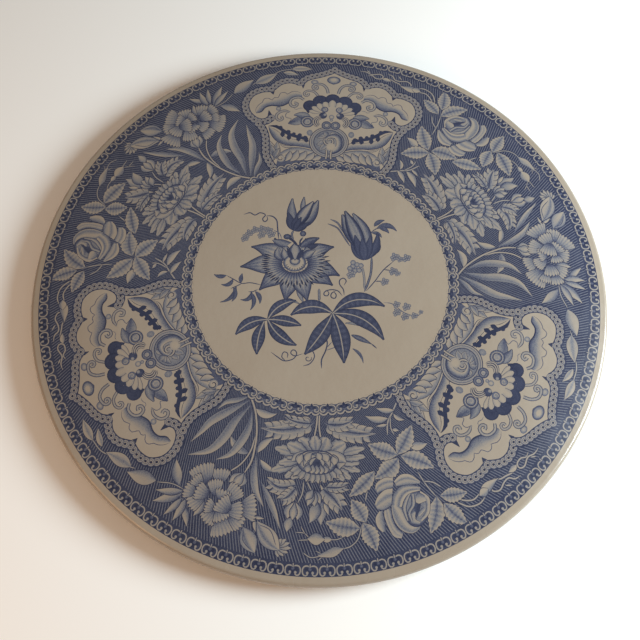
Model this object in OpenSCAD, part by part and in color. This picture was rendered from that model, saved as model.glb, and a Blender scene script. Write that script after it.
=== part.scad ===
// Round transfer-printed china serving platter on a turned foot ring.
// Origin at the centre of the plane that the foot stands on, +Z up, millimetres.

/* [Platter] */
// Outside diameter of the platter
platter_d = 330; // [260:2:400]
// Height of the middle of the face above the table
face_height = 18; // [16:0.5:24]
// Thickness of the pottery
body_thickness = 6; // [5:0.5:8]
// How far the face falls between its middle and the edge of the print
face_fall = 5; // [2:0.5:6]
// Sharpness of that fall: a high value keeps the middle flat
fall_power = 5; // [3:1:7]

/* [Lip] */
// Radius of the rolled lip's section
lip_roll_r = 2.6; // [2:0.1:3]
// Width of the plain cream lip outside the print
lip_w = 4.9; // [3:0.1:6]

/* [Foot] */
// Mean diameter of the foot ring
foot_d = 196; // [150:2:220]
// Width of the foot ring where it meets the body
foot_root_w = 7; // [6:0.5:10]
// Width of the flat that stands on the table
foot_flat_w = 3; // [2:0.5:4]

/* [Decoration] */
// Radius of the cream medallion in the middle
medallion_r = 72; // [60:0.5:80]
// Width of the inner scroll border
inner_border_w = 7; // [4:0.5:9]
// Width of the outer scroll border
outer_border_w = 6.7; // [4:0.1:9]
// Direction of the first cartouche
first_cartouche_deg = 86.8; // [0:0.1:120]
// Thickness of the printed and glazed coats
coat_t = 0.4; // [0.3:0.1:0.8]

/* [Hidden] */

$fn = 180;
cartouches = 3;
platter_r = platter_d / 2;
print_r = platter_r - lip_w;
foot_r = foot_d / 2;
inner_ring_r = medallion_r + inner_border_w;
outer_ring_r = print_r - outer_border_w;
pitch_deg = 360 / cartouches;
profile_step = 8;
// The cartouche is drawn for a print of this radius and scaled to fit.
drawn_print_r = 162;

cream = "#d8ccb0";
biscuit = "#e6dfd0";
cobalt = "#3f4f80";
pale_cobalt = "#8b93ab";
mid_cobalt = "#5d6b93";

// Height of the finished face, and of the finished underside, at radius r.
function face_z(r) = face_height - face_fall * pow(r / print_r, fall_power);
function back_z(r) = face_z(r) - body_thickness;
back_r = platter_r - 2 * lip_roll_r;

// Radii from a to b, evenly spaced, for the curved profiles.
function radii(a, b) = let (n = max(1, ceil((b - a) / profile_step)))
    [for (i = [0 : n]) a + (b - a) * i / n];

// Section of a coat of thickness coat_t that lies on the face from radius a to b.
module face_coat_section(a, b) {
    r = radii(a, b);
    polygon(concat(
        [for (i = [0 : len(r) - 1]) [r[i], face_z(r[i])]],
        [for (i = [len(r) - 1 : -1 : 0]) [r[i], face_z(r[i]) - coat_t]]
    ));
}

module face_coat(a, b) {
    rotate_extrude() face_coat_section(a, b);
}

// Section of the same coat under the body.
module back_coat_section(a, b) {
    r = radii(a, b);
    polygon(concat(
        [for (i = [0 : len(r) - 1]) [r[i], back_z(r[i])]],
        [for (i = [len(r) - 1 : -1 : 0]) [r[i], back_z(r[i]) + coat_t]]
    ));
}

// Outline of one cartouche: lobed shoulders, a pointed head and tapering sides.
module cartouche_outline() {
    union() {
        polygon([[0, 152], [-20, 142], [-20, 120], [20, 120], [20, 142]]);
        polygon([
            [-34, 60], [34, 60], [40, 88], [42, 101], [46, 128], [20, 136],
            [-20, 136], [-46, 128], [-42, 101], [-40, 88]
        ]);
        for (side = [-1, 1]) {
            translate([side * 44, 118]) circle(13);
            translate([side * 28, 127]) circle(14.5);
            translate([side * 11, 135]) circle(12);
        }
    }
}

// Turns a panel that is drawn at the foot of the face to place k, counting
// anticlockwise from the first cartouche.
module at_place(k) {
    rotate([0, 0, first_cartouche_deg + 90 + pitch_deg * k]) children();
}

// A tall prism on a cartouche's outline, at the given turn from the foot of the face.
module cartouche_prism(turn_deg) {
    rotate([0, 0, turn_deg + 180])
        linear_extrude(height = 2 * face_height)
            scale(print_r / drawn_print_r) cartouche_outline();
}

// A tall wedge between two neighbouring cartouches, centred on the foot of the face.
module floral_wedge() {
    reach = 2 * platter_r;
    linear_extrude(height = 2 * face_height)
        polygon([[0, 0], for (turn = [-1, 0, 1])
            reach * [cos(270 + turn * pitch_deg / 2), sin(270 + turn * pitch_deg / 2)]]);
}

// The turned body: a flat disc whose face falls gently to the edge.
module body() {
    r = radii(0, back_r);
    color(biscuit) rotate_extrude()
        polygon(concat(
            [for (i = [0 : len(r) - 1]) [r[i], face_z(r[i]) - coat_t]],
            [for (i = [len(r) - 1 : -1 : 0]) [r[i], back_z(r[i]) + coat_t]]
        ));
}

// The foot: a tapered ring with a rounded tread, joined under the body.
module foot_ring() {
    root_in = foot_r - foot_root_w / 2;
    root_out = foot_r + foot_root_w / 2;
    flat_in = foot_r - foot_flat_w / 2;
    flat_out = foot_r + foot_flat_w / 2;
    tread = 0.8;
    color(cream) rotate_extrude()
        polygon([
            [flat_in, 0], [flat_out, 0],
            [flat_out + tread, tread], [root_out, back_z(root_out) + coat_t],
            [root_in, back_z(root_in) + coat_t], [flat_in - tread, tread]
        ]);
}

// The plain cream lip, rolled over the edge of the body.
module lip_glaze() {
    roll_z = face_z(platter_r - lip_roll_r) - lip_roll_r;
    color(cream) rotate_extrude() union() {
        translate([platter_r - lip_roll_r, roll_z]) circle(lip_roll_r);
        polygon([
            [back_r, back_z(back_r)], [platter_r - lip_roll_r, roll_z - lip_roll_r],
            [platter_r - lip_roll_r, roll_z + lip_roll_r],
            [print_r, face_z(print_r)], [print_r, face_z(print_r) - coat_t],
            [back_r, face_z(back_r) - coat_t]
        ]);
    }
}

// The glaze under the body outside the foot.
module back_glaze() {
    color(cream) rotate_extrude()
        back_coat_section(foot_r + foot_root_w / 2, back_r);
}

// The glaze under the body inside the foot.
module foot_well_glaze() {
    color(cream) rotate_extrude()
        back_coat_section(0, foot_r - foot_root_w / 2);
}

// The cream medallion that carries the bouquet.
module centre_print() {
    color(cream) face_coat(0, medallion_r);
}

module inner_border_print() {
    color(pale_cobalt) face_coat(medallion_r, inner_ring_r);
}

module outer_border_print() {
    color(mid_cobalt) face_coat(outer_ring_r, print_r);
}

module cartouche_print(k) {
    color(cream) at_place(k) intersection() {
        face_coat(inner_ring_r, outer_ring_r);
        cartouche_prism(0);
    }
}

module floral_print(k) {
    color(cobalt) at_place(k + 0.5) difference() {
        intersection() {
            face_coat(inner_ring_r, outer_ring_r);
            floral_wedge();
        }
        cartouche_prism(-pitch_deg / 2);
        cartouche_prism(pitch_deg / 2);
    }
}

body();
foot_ring();
lip_glaze();
back_glaze();
foot_well_glaze();
centre_print();
inner_border_print();
outer_border_print();
cartouche_print(0);  // cartouche_print_1
cartouche_print(1);  // cartouche_print_2
cartouche_print(2);  // cartouche_print_3
floral_print(0);  // floral_print_1
floral_print(1);  // floral_print_2
floral_print(2);  // floral_print_3
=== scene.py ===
"""Blue-printed china platter: a thrown cream body under an engraved cobalt print and a clear glaze."""
import math

import bmesh
import bpy
import numpy as np
from mathutils import Matrix, Vector
from mathutils.geometry import delaunay_2d_cdt


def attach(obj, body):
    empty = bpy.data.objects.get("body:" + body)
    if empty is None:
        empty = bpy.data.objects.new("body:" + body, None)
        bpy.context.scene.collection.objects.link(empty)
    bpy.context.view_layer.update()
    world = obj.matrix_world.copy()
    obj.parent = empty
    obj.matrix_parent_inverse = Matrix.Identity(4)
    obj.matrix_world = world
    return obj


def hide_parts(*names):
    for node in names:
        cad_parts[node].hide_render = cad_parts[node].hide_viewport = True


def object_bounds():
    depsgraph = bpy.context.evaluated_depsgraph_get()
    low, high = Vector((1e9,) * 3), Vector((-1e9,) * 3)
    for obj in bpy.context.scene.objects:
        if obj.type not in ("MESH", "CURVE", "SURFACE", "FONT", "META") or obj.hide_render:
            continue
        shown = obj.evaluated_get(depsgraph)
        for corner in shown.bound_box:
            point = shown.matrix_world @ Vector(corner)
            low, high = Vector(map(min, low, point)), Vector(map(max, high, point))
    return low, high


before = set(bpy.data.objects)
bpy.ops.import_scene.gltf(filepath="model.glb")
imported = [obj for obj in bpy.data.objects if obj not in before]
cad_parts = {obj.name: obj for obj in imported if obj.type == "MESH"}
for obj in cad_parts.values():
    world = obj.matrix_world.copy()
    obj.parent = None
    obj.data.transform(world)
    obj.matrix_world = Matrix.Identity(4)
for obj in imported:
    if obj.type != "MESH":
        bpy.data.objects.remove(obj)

CAD_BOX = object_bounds()
MM = 0.001

# ------------------------------------------------------------------ pottery dimensions, millimetres
PLATTER_R = 1000 * CAD_BOX[1][0]
FACE_HEIGHT = 1000 * CAD_BOX[1][2]
LIP_W = 4.9
PRINT_R = PLATTER_R - LIP_W
FACE_FALL = 5.0
FALL_POWER = 5
BODY_THICKNESS = 6.0
LIP_ROLL_R = 2.6
COAT_T = 0.4
FOOT_R = 98.0
FOOT_ROOT_W = 7.0
FOOT_FLAT_W = 3.0
FIRST_CARTOUCHE_DEG = 86.8
SECTORS = 3
SECTOR_DEG = 360 / SECTORS

# The print is drawn at a radius of 160.9 and scaled to fit the platter.
DRAWN_R = 160.9
DRAWN_SCALE = PRINT_R / DRAWN_R
MEDALLION_R = 72.4
INNER_BORDER_R = 79.4
OUTER_BORDER_R = 154.2


def face_z(r):
    """Height of the finished face at radius r."""
    return FACE_HEIGHT - FACE_FALL * (r / PRINT_R) ** FALL_POWER


# ------------------------------------------------------------------ drawing tools
# Drawings are in millimetres. Tones run from 0, bare ware, to 1, the darkest cobalt.
INK = 0.88
LINE_W = 0.42
SPAN_SAMPLES = 12
STROKE_STEP = 1.05
STROKE_ROWS = (4, 48)
TOOTH_WIDTHS = (0.88, 1.05)
VEIN_SHADES = (0.13, -0.06)
FAN_ANGLE = 1.25
STREAK_SHADE = 0.2


def spline(points, count):
    """Evenly sampled smooth curve through the given points."""
    p = np.asarray(points, float)
    p = np.vstack([2 * p[0] - p[1], p, 2 * p[-1] - p[-2]])
    spans = len(p) - 3
    u = np.linspace(0, spans, SPAN_SAMPLES * spans + 1)
    k = np.minimum(u.astype(int), spans - 1)
    t = (u - k)[:, None]
    a, b, c, d = p[k], p[k + 1], p[k + 2], p[k + 3]
    q = 0.5 * (2 * b + (c - a) * t + (2 * a - 5 * b + 4 * c - d) * t ** 2 + (3 * b - a - 3 * c + d) * t ** 3)
    step = np.r_[0, np.cumsum(np.hypot(*np.diff(q, axis=0).T))]
    at = np.linspace(0, step[-1], count)
    return np.column_stack([np.interp(at, step, q[:, 0]), np.interp(at, step, q[:, 1])])


def normals(path):
    """Unit normals, pointing left of the way the path runs."""
    d = np.gradient(path, axis=0)
    d /= np.maximum(np.hypot(d[:, 0], d[:, 1]), 1e-9)[:, None]
    return np.column_stack([-d[:, 1], d[:, 0]])


def axes(base, tip):
    """The base as an array, the distance to the tip, and unit vectors towards the tip and to its left."""
    base = np.asarray(base, float)
    along = np.asarray(tip, float) - base
    length = math.hypot(*along)
    along = along / length
    return base, length, along, np.array([-along[1], along[0]])


def rotated(points, turn_deg):
    """The points, turned anticlockwise about the origin."""
    c, s = math.cos(math.radians(turn_deg)), math.sin(math.radians(turn_deg))
    return np.column_stack([points[:, 0] * c - points[:, 1] * s, points[:, 0] * s + points[:, 1] * c])


def even(count):
    """Whether each of the numbers from 0 to count - 1 is even."""
    return np.arange(count) % 2 == 0


def sided(side, points):
    """The points, or their mirror images in x where side is -1."""
    return [(side * x, y) for x, y in points]


def each(draw, items, *style, **more):
    """Draws every item, which is a row of arguments, in one style."""
    for item in items:
        draw(*item, *style, **more)


class Art:
    """A flat drawing of shaded cells in painter's order: a later cell hides what is under it."""

    def __init__(self):
        self.points = []
        self.tones = []
        self.cells = []
        self.zones = []
        self.size = 0
        self.zone = 0

    def grid(self, rows, tones):
        """A patch of cells on a grid of points (n, m, 2) with a tone at each point."""
        n, m = rows.shape[:2]
        index = self.size + np.arange(n * m).reshape(n, m)
        corners = [index[:-1, :-1], index[:-1, 1:], index[1:, 1:], index[1:, :-1]]
        cells = np.stack(corners, -1).reshape(-1, 4)
        self.points.append(rows.reshape(-1, 2))
        self.tones.append(np.broadcast_to(tones, (n, m)).reshape(-1))
        self.cells.append(cells)
        self.zones.append(np.full(len(cells), self.zone))
        self.size += n * m

    def paste(self, other, turn_deg=0.0, mirror=False, shift=(0, 0)):
        """Draw another drawing on top, shifted, then mirrored in x, then turned about the origin."""
        for points, tones, cells in zip(other.points, other.tones, other.cells):
            p = points + np.asarray(shift, float)
            if mirror:
                p = p * (-1, 1)
            self.points.append(rotated(p, turn_deg))
            self.tones.append(tones)
            self.cells.append(cells - cells.min() + self.size)
            self.zones.append(np.full(len(cells), self.zone))
            self.size += len(p)

    def band(self, left, right, tones, rows=10, edge=0.0):
        """A patch between two smooth edges, with its tones spread from left to right."""
        a, b = spline(left, rows), spline(right, rows)
        if edge:
            self.stroke(left, edge)
            self.stroke(right, edge)
        t = np.linspace(0, 1, len(tones))[None, :, None]
        self.grid(a[:, None] * (1 - t) + b[:, None] * t, np.asarray(tones, float)[None])

    def stroke(self, points, width=LINE_W, tone=INK, ends=(0.3, 0.3), rows=0):
        """A drawn line that swells in its middle; tone may be one value or (edge, middle, edge)."""
        length = np.hypot(*np.diff(np.asarray(points, float), axis=0).T).sum()
        rows = rows or int(min(max(length / STROKE_STEP, STROKE_ROWS[0]), STROKE_ROWS[1]))
        path = spline(points, rows)
        s = np.linspace(0, 1, rows)
        swell = np.minimum(1, np.minimum(ends[0] + 5 * s, ends[1] + 5 * (1 - s)))
        side = normals(path) * (width / 2 * swell)[:, None]
        tone = np.atleast_1d(tone)
        t = np.linspace(-1, 1, max(2, len(tone)))[None, :, None]
        self.grid(path[:, None] + side[:, None] * t, np.resize(tone, max(2, len(tone)))[None])

    def tube(self, points, width, tones=(0.3, 0.04, 0.3), edge=LINE_W, **more):
        """A light stem or scroll with inked sides."""
        self.stroke(points, width + 2 * edge, INK, **more)
        self.stroke(points, width, tones, **more)

    def disc(self, x, y, r, tones=(0.1, 0.1), sides=14, squash=1.0):
        """A round spot, its tones running from the middle to the rim."""
        a = np.linspace(0, 2 * math.pi, sides + 1)
        radius = np.linspace(0.02, 1, len(tones)) * r
        ring = np.stack([np.cos(a), squash * np.sin(a)], -1)
        self.grid(np.array([x, y]) + radius[:, None, None] * ring[None], np.asarray(tones, float)[:, None])

    def leaf(self, base, tip, half, bow=0.0, tones=(0.06, 0.2, 0.5, 0.2, 0.06), fade=(0, 0), belly=0.42,
             teeth=0, lean=0.0, veins=0, rows=11, edge=0.35, blunt=1.0):
        """A leaf or pointed petal; bow bends it to its left, teeth cut its margin, fade shades its ends."""
        base, length, along, across = axes(base, tip)
        rows = max(rows, 2 * teeth + 1, 2 * veins + 1)
        s = np.linspace(0, 1, rows)
        spine = base + np.outer(s * length, along) + np.outer(4 * bow * s * (1 - s), across)
        swell = np.clip(s, 0.012, 0.985) ** (math.log(0.5) / math.log(belly))
        width = half * np.sin(math.pi * swell) ** blunt
        side = normals(spine)
        push = np.where(even(rows), 0.0, lean)
        if teeth:
            width = width * np.where(even(rows), *TOOTH_WIDTHS)
        if edge:
            w = (width + edge)[:, None, None] * np.array([1, 0, -1.0])[None, :, None]
            out = push[:, None, None] * along * np.array([1, 0, 1.0])[None, :, None]
            self.grid(spine[:, None] + side[:, None] * w + out, np.full((1, 3), INK))
        t = np.linspace(1, -1, len(tones))
        shade = np.broadcast_to(np.asarray(tones, float), (rows, len(tones))).copy()
        shade += (fade[0] * (1 - s) ** 2 + fade[1] * s ** 2)[:, None]
        if veins:
            shade += np.where(even(rows), *VEIN_SHADES)[:, None] * (np.abs(t) < 0.85)
        w = width[:, None, None] * t[None, :, None]
        out = push[:, None, None] * along * (np.abs(t) ** 2)[None, :, None]
        self.grid(spine[:, None] + side[:, None] * w + out, np.clip(shade, 0.02, 0.95))

    def frill(self, base, tip, half, teeth=6, tones=(0.6, 0.36, 0.18, 0.08, 0.03), edge=0.4, cup=0.25,
              depth=1.2):
        """A fan-shaped petal with a toothed rim."""
        base, length, along, across = axes(base, tip)
        t = np.linspace(1, -1, 2 * teeth + 1)
        s = np.linspace(0.08, 1, len(tones))
        spread = np.sqrt(s)[:, None] * half * np.sin(t * FAN_ANGLE)[None] / math.sin(FAN_ANGLE)
        reach = s[:, None] * (length - cup * length * (1 - np.cos(t * FAN_ANGLE)))[None]
        tooth = np.where(even(len(t)), -depth / 2, depth / 2)
        reach = reach + np.where(s[:, None] > 0.99, tooth[None], 0)
        rows = base + reach[..., None] * along + spread[..., None] * across
        if edge:
            longer, wider = 1 + 2 * edge / length, 1 + edge / half
            self.grid(base - along * edge + (reach * longer)[..., None] * along
                      + (spread * wider)[..., None] * across, np.full((1, len(t)), INK))
        streak = np.where(even(len(t)), STREAK_SHADE, 0.0)[None] * np.linspace(0.5, 1, len(s))[:, None]
        self.grid(rows, np.asarray(tones, float)[:, None] + streak)

    def swirl(self, x, y, r, turns=1.3, start_deg=0.0, width=1.0, tone=(0.3, 0.05, 0.3), edge=0.3):
        """A spiral tube that winds in towards its middle; negative turns wind clockwise."""
        count = int(10 * abs(turns)) + 4
        a = math.radians(start_deg) + np.linspace(0, 2 * math.pi * turns, count)
        radius = np.linspace(r, r * 0.18, count)
        path = np.column_stack([x + radius * np.cos(a), y + radius * np.sin(a)])
        self.tube(path, width, tone, edge, rows=count)


# The tone sets that motifs share, from the left edge of a shape to its right.
SHADED = (0.42, 0.22, 0.07, 0.03, 0.05)
SHADED_R = SHADED[::-1]
VEINED = (0.03, 0.09, 0.17, 0.24, 0.5, 0.22, 0.15, 0.08, 0.03)
DARK = (0.82, 0.62, 0.56, 0.62, 0.72, 0.62, 0.56, 0.62, 0.82)


# ------------------------------------------------------------------ scroll borders
OUTER_UNITS = 38
INNER_UNITS = 18


def outer_border_unit():
    """A lyre of two C-scrolls around a dark flower, centred on x = 0 at its true radius."""
    art = Art()
    each(art.disc, ((0, 158.6, 1.4), (1.5, 157.4, 1.1), (-1.5, 157.4, 1.1), (4.33, 160.1, 0.7)),
         (0.94, 0.9), 10)
    art.disc(0, 157.2, 0.85, (0.45, 0.62), 10)
    for side in (-1, 1):
        scroll = sided(side,
                       ((1.25, 158.9), (1.5, 160), (2.7, 160.3), (3.7, 159.2), (3.85, 157.4), (3.1, 156),
                        (1.7, 155.6), (0.4, 156)))
        art.tube(scroll, 0.8, (0.25, 0.05, 0.25), 0.28, ends=(1, 0.7), rows=12)
        art.disc(side * 1.35, 158.9, 0.72, (0.04, 0.22), 8)
    art.tube([(0, 156.4), (0, 154.6)], 0.7, (0.25, 0.06, 0.25), 0.25, rows=3, ends=(1, 0.5))
    return art


def inner_border_unit():
    """A pair of inward scrolls under a scalloped cord, with a dark flower and a tick between them."""
    art = Art()
    for side in (-1, 1):
        cord = sided(side, ((0, 77.6), (0.9, 78.5), (2.2, 79), (3.5, 78.6), (4.42, 77.5)))
        each(art.stroke, ((cord, 1.7, 0.85), (cord, 0.95, (0.2, 0.04, 0.2))), ends=(1, 1), rows=8)
        scroll = sided(side,
                       ((0.7, 73.9), (2.6, 73.8), (4, 75), (3.9, 76.7), (2.6, 77.4), (1.5, 76.5),
                        (2, 75.7)))
        art.tube(scroll, 0.8, (0.25, 0.04, 0.25), 0.32, ends=(0.7, 1), rows=13)
        art.disc(side * 1.9, 76.2, 0.62, (0.05, 0.3), 8)
        art.leaf((0, 75), (side * 2.9, 75.3), 0.75, tones=(0.92, 0.92), edge=0, rows=5)
    art.disc(0, 75.2, 1.15, (0.6, 0.92), 10)
    art.leaf((0, 75), (0, 72.7), 0.7, tones=(0.9, 0.9), edge=0, rows=5)
    art.disc(0, 78.7, 0.55, (0.95, 0.95), 8)
    return art


def ring_of(unit, count, span_deg, phase=0.5):
    """Copies of a unit side by side across an angle, centred on +Y."""
    art = Art()
    for i in range(count):
        art.paste(unit, span_deg / 2 - (i + phase) * span_deg / count)
    return art


# ------------------------------------------------------------------ cartouche
BRAID_STEP = 3.15
GROUND_RIM_W = 5.6
BRAID_W = 5.2
KNOT_RINGS = ((2.35, (0.62, 0.62), 14), (2.05, (0.26, 0.14), 14), (1.45, (0.6, 0.6), 12),
              (1.2, (0.1, 0.1), 12), (0.72, (0.98, 0.98), 8))
CREAM_TONE = (0.02, 0.02)
FAN_TONES = (0.84, 0.84, 0.8, 0.92)
HEAD = [(0, 150.3), (-3, 148.1), (-8.7, 145.4), (-14.7, 143.3), (-18.6, 141), (-21.3, 137.4)]
SHOULDER = [(-21.3, 137.4), (-24.1, 138.8), (-29, 139.4), (-34.6, 137.3), (-39.6, 131.8)]
LOBE = [(-39.6, 131.8), (-45.7, 130.8), (-52, 126.9), (-54.9, 119.5), (-53.2, 112.3), (-48.8, 107.4),
        (-44.3, 105.5), (-40.3, 106.2), (-37.4, 109)]
FLANK = [(-45.2, 104), (-42.2, 100.2), (-40, 94.5), (-39.3, 87.5), (-38.3, 80.7), (-35.3, 75.2), (-31, 70)]


def braid_knots(path):
    """The middles of evenly spaced knots along a path."""
    fine = spline(path, 200)
    length = np.hypot(*np.diff(fine, axis=0).T).sum()
    return spline(path, max(2, round(length / BRAID_STEP) + 1))


def half_cartouche_ground():
    """The cream ground of the left half, out to the dark line under the braid."""
    art = Art()
    for path in (HEAD, SHOULDER, LOBE[:-2], FLANK):
        art.stroke(path, GROUND_RIM_W, INK, ends=(1, 1), rows=26)
    for path in (HEAD, SHOULDER, LOBE[:-3]):
        rim = spline(path, 22)
        core = np.column_stack([np.maximum(rim[:, 0] * 0.6, rim[:, 0] + 22), np.full(22, 116.0)])
        art.grid(np.stack([rim, core], 1), np.array([CREAM_TONE]))
    flank = spline(FLANK, 12)
    art.grid(np.stack([flank, flank * (0, 1) + (0.5, 0)], 1), np.array([CREAM_TONE]))
    art.band([(0.5, 146), (0.5, 105), (0.5, 68)], [(-36, 128), (-40, 110), (-31, 72)], CREAM_TONE, 12)
    art.disc(-43.5, 118, 12.3, CREAM_TONE, 20)
    for cusp in (((-20.6, 136), (-19.4, 133.2), (-18.4, 136.4)),
                 ((-40, 129), (-37.9, 127.2), (-37.2, 130.2)),
                 ((-40, 110), (-39.6, 114.6), (-36.2, 109.6))):
        left, point, right = np.array(cusp)
        art.grid(np.array([[left, right], [point - (0.15, 0), point + (0.15, 0)]]), np.full((1, 2), INK))
    return art


def half_braid():
    """The braid of ringed knots around the left half."""
    art = Art()
    for path in (LOBE[::-1], FLANK[::-1], SHOULDER[::-1], HEAD[::-1]):
        art.stroke(path, BRAID_W, INK, ends=(1, 1), rows=26)
        for x, y in braid_knots(path):
            for ring in KNOT_RINGS:
                art.disc(x, y, *ring)
    return art


def half_motif():
    """The scrollwork in the left half of a cartouche."""
    art = Art()
    # grey ground above the inner border, with the bottom acanthus on it
    art.band([(-31, 79), (-22, 81.5), (-10, 81.7), (0.5, 83)],
             [(-33, 66), (-20, 70), (-10, 74), (0.5, 75)], (0.55, 0.6), 12)
    each(art.leaf,
         (((-33.5, 78), (-37.2, 91.6), 2.2, -0.8), ((-31.4, 79), (-32, 91.4), 2.2, 0.6),
          ((-33.2, 83), (-35.6, 88.4), 1.3, 0.4), ((-33.4, 79.6), (-30.2, 86.6), 1.5, 0.5),
          ((-34.4, 76.4), (-36.6, 82.4), 1.3, -0.5)), (0.12, 0.34, 0.12, 0.04), (0.2, 0), edge=0.3)
    art.band([(-1, 83), (-9, 86.6), (-19, 87.8), (-26, 86), (-30.6, 82.5)],
             [(-1, 82.4), (-9, 82.6), (-17, 83.2), (-22, 83.4), (-27.6, 81.5)], (0.4, 0.2, 0.05, 0.03),
             14, 0.5)
    each(art.leaf,
         (((-4.4, 84), (-10.4, 79.6), 1.7), ((-9, 85), (-15.2, 79), 2.0), ((-14, 85.6), (-20, 78.6), 2.2),
          ((-19.4, 85.8), (-23.4, 77.6), 2.2), ((-24, 85), (-26.4, 77.6), 1.8)), 0.9,
         (0.03, 0.04, 0.12, 0.42), (0.12, 0), 0.5, rows=9)
    art.disc(-29.2, 79.3, 2.5, (0.03, 0.03, 0.25), 14)
    art.swirl(-29.2, 79.6, 2.5, 1.0, 60, 0.5, (INK, INK), 0)
    # white rope that carries the side leaf, and the side leaf itself
    art.tube([(-4, 84.3), (-10, 86.7), (-18, 88.3), (-27, 88), (-31, 90)], 1.0, (0.1, 0.02, 0.1), 0.35,
             ends=(1, 0.2))
    art.band([(-38.8, 102.4), (-37, 97.4), (-33.5, 92.4), (-28, 89.6), (-20, 88.9), (-12, 87.8),
              (-7, 85.4)],
             [(-38.5, 102), (-33.5, 99.5), (-30, 96.4), (-25, 94), (-19, 93), (-12.5, 92.4), (-8.4, 87)],
             (0.62, 0.42, 0.24, 0.1, 0.03), 16, 0.5)
    art.stroke([(-38.8, 102.6), (-34, 102.6), (-30, 100.2), (-25.5, 97.2), (-20, 95.6), (-13.6, 94)], 2.2,
               0.9, ends=(0.1, 0.9), rows=12)
    each(art.disc,
         ((-31.2, 101.9, 1.3), (-26.1, 98.9, 1.5), (-22.6, 97.6, 1.2), (-18.9, 96.9, 1.4),
          (-15.4, 95.2, 1.5)), (0.9, 0.9), 10)
    each(art.leaf,
         (((-30.5, 99.5), (-29.5, 94.8)), ((-26.5, 97.5), (-25.4, 92.8)), ((-20.8, 96), (-19.2, 92.2)),
          ((-15.6, 94.8), (-14.4, 91.8))), 1.5, 0.4, (0.9, 0.9), edge=0, rows=6, belly=0.6)
    # a grey berry beside the ball at the foot, which foot_ball draws
    art.disc(-12.9, 99, 1.9, (0.2, 0.4), 10, 1.2)
    # shoulder leaf with a wavy far edge
    art.band([(-19.5, 126.6), (-25.5, 124.6), (-28, 121), (-32.5, 118.4), (-38, 118.6), (-42, 116.9),
              (-44.2, 113.4), (-47.6, 112.2)],
             [(-19.8, 129), (-24, 130.2), (-28.6, 128.6), (-33.6, 126.4), (-38.4, 123.4), (-43.4, 121),
              (-46.6, 117.6), (-47.8, 112.8)], (0.6, 0.4, 0.3, 0.16, 0.06, 0.03), 18)
    art.stroke([(-19.5, 126.4), (-25.5, 124.4), (-28, 120.8), (-32.5, 118.2), (-38, 118.4), (-42, 116.7),
                (-44.2, 113.2), (-47.4, 112)], 0.75)
    art.stroke([(-20, 129), (-23, 130.4), (-26, 130.2), (-27.4, 129.2), (-29, 127.9), (-30.2, 129),
                (-31.8, 129.2), (-33.6, 128.4), (-34, 126.4), (-34.9, 124.6), (-36.2, 125),
                (-37.6, 124.2), (-38.2, 122.6), (-40, 123.8), (-42.4, 124), (-43.8, 122.6),
                (-44.2, 120.6), (-46, 119), (-47.6, 116), (-48, 112.8)], 0.4, 0.6, rows=34)
    # side scrolls and berries
    art.tube([(-26, 114.2), (-30.5, 114.6), (-34, 112.2), (-34.4, 108.8), (-32.2, 107.2), (-30.4, 108.8),
              (-31.6, 110.4)], 1.3, (0.3, 0.06, 0.3), 0.3, ends=(0.3, 1))
    art.disc(-33.6, 116.2, 1.7, (0.06, 0.2, 0.45), 10)
    art.stroke([(-26.2, 114), (-28.6, 112.6), (-28.4, 109.8), (-25, 108.8), (-26.6, 105.6)], 0.4, 0.6)
    art.leaf((-17, 110), (-26.8, 105.2), 2.7, 0.6, (0.1, 0.2, 0.4, 0.3), fade=(0.1, 0.35), edge=0.3)
    art.leaf((-13, 109.5), (-23.6, 111.8), 2.5, -1.2, (0.62, 0.42, 0.22, 0.4), edge=0.3)
    art.disc(-14.8, 107.3, 4.4, (0.4, 0.05, 0.05, INK), 18)
    art.disc(-14.8, 107.3, 2.9, (0.26, 0.2, INK), 14)
    art.swirl(-14.8, 107.3, 2.1, 1.2, 200, 0.45, (0.1, 0.1), 0)
    art.tube([(-18.2, 124), (-21.3, 125.9), (-25.4, 124.6), (-26.9, 121.4), (-25.4, 118.6),
              (-22.8, 118.7), (-22.2, 120.9), (-24.2, 121.2)], 1.3, (0.35, 0.05, 0.35), 0.32,
             ends=(0.8, 1))
    art.stroke([(-24.2, 117.4), (-22.6, 116), (-20.4, 117.4), (-18.4, 117.2)], 0.35, 0.45)
    # antennae with berries
    art.tube([(-9.4, 127.6), (-12.2, 130.8), (-16, 131.4), (-18.4, 129.6), (-17.6, 127.4), (-15.6, 127.8),
              (-15.9, 129.4)], 1.1, (0.3, 0.06, 0.3), 0.3, ends=(0.9, 1))
    art.disc(-12.3, 138.7, 2.4, (0.05, 0.2, 0.55), 14, 0.8)
    art.tube([(-3.2, 130), (-4.3, 134), (-6.8, 136.8), (-9.6, 137.3), (-12.6, 136.2), (-13.2, 133.9),
              (-11.4, 132.8), (-10, 134.4), (-11.4, 135.2)], 1.3, (0.35, 0.08, 0.35), 0.32,
             ends=(0.9, 0.9))
    # dark five-lobed fan over white petals
    art.leaf((-14.8, 119), (-14.8, 113.6), 1.8, 0, (0.86, 0.86), edge=0, rows=6)
    each(art.disc, ((-14.2, 119.6, 4.3), (-11.6, 118.6, 3), (-7.7, 123.2, 5.0)), FAN_TONES, 18)
    return art


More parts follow.
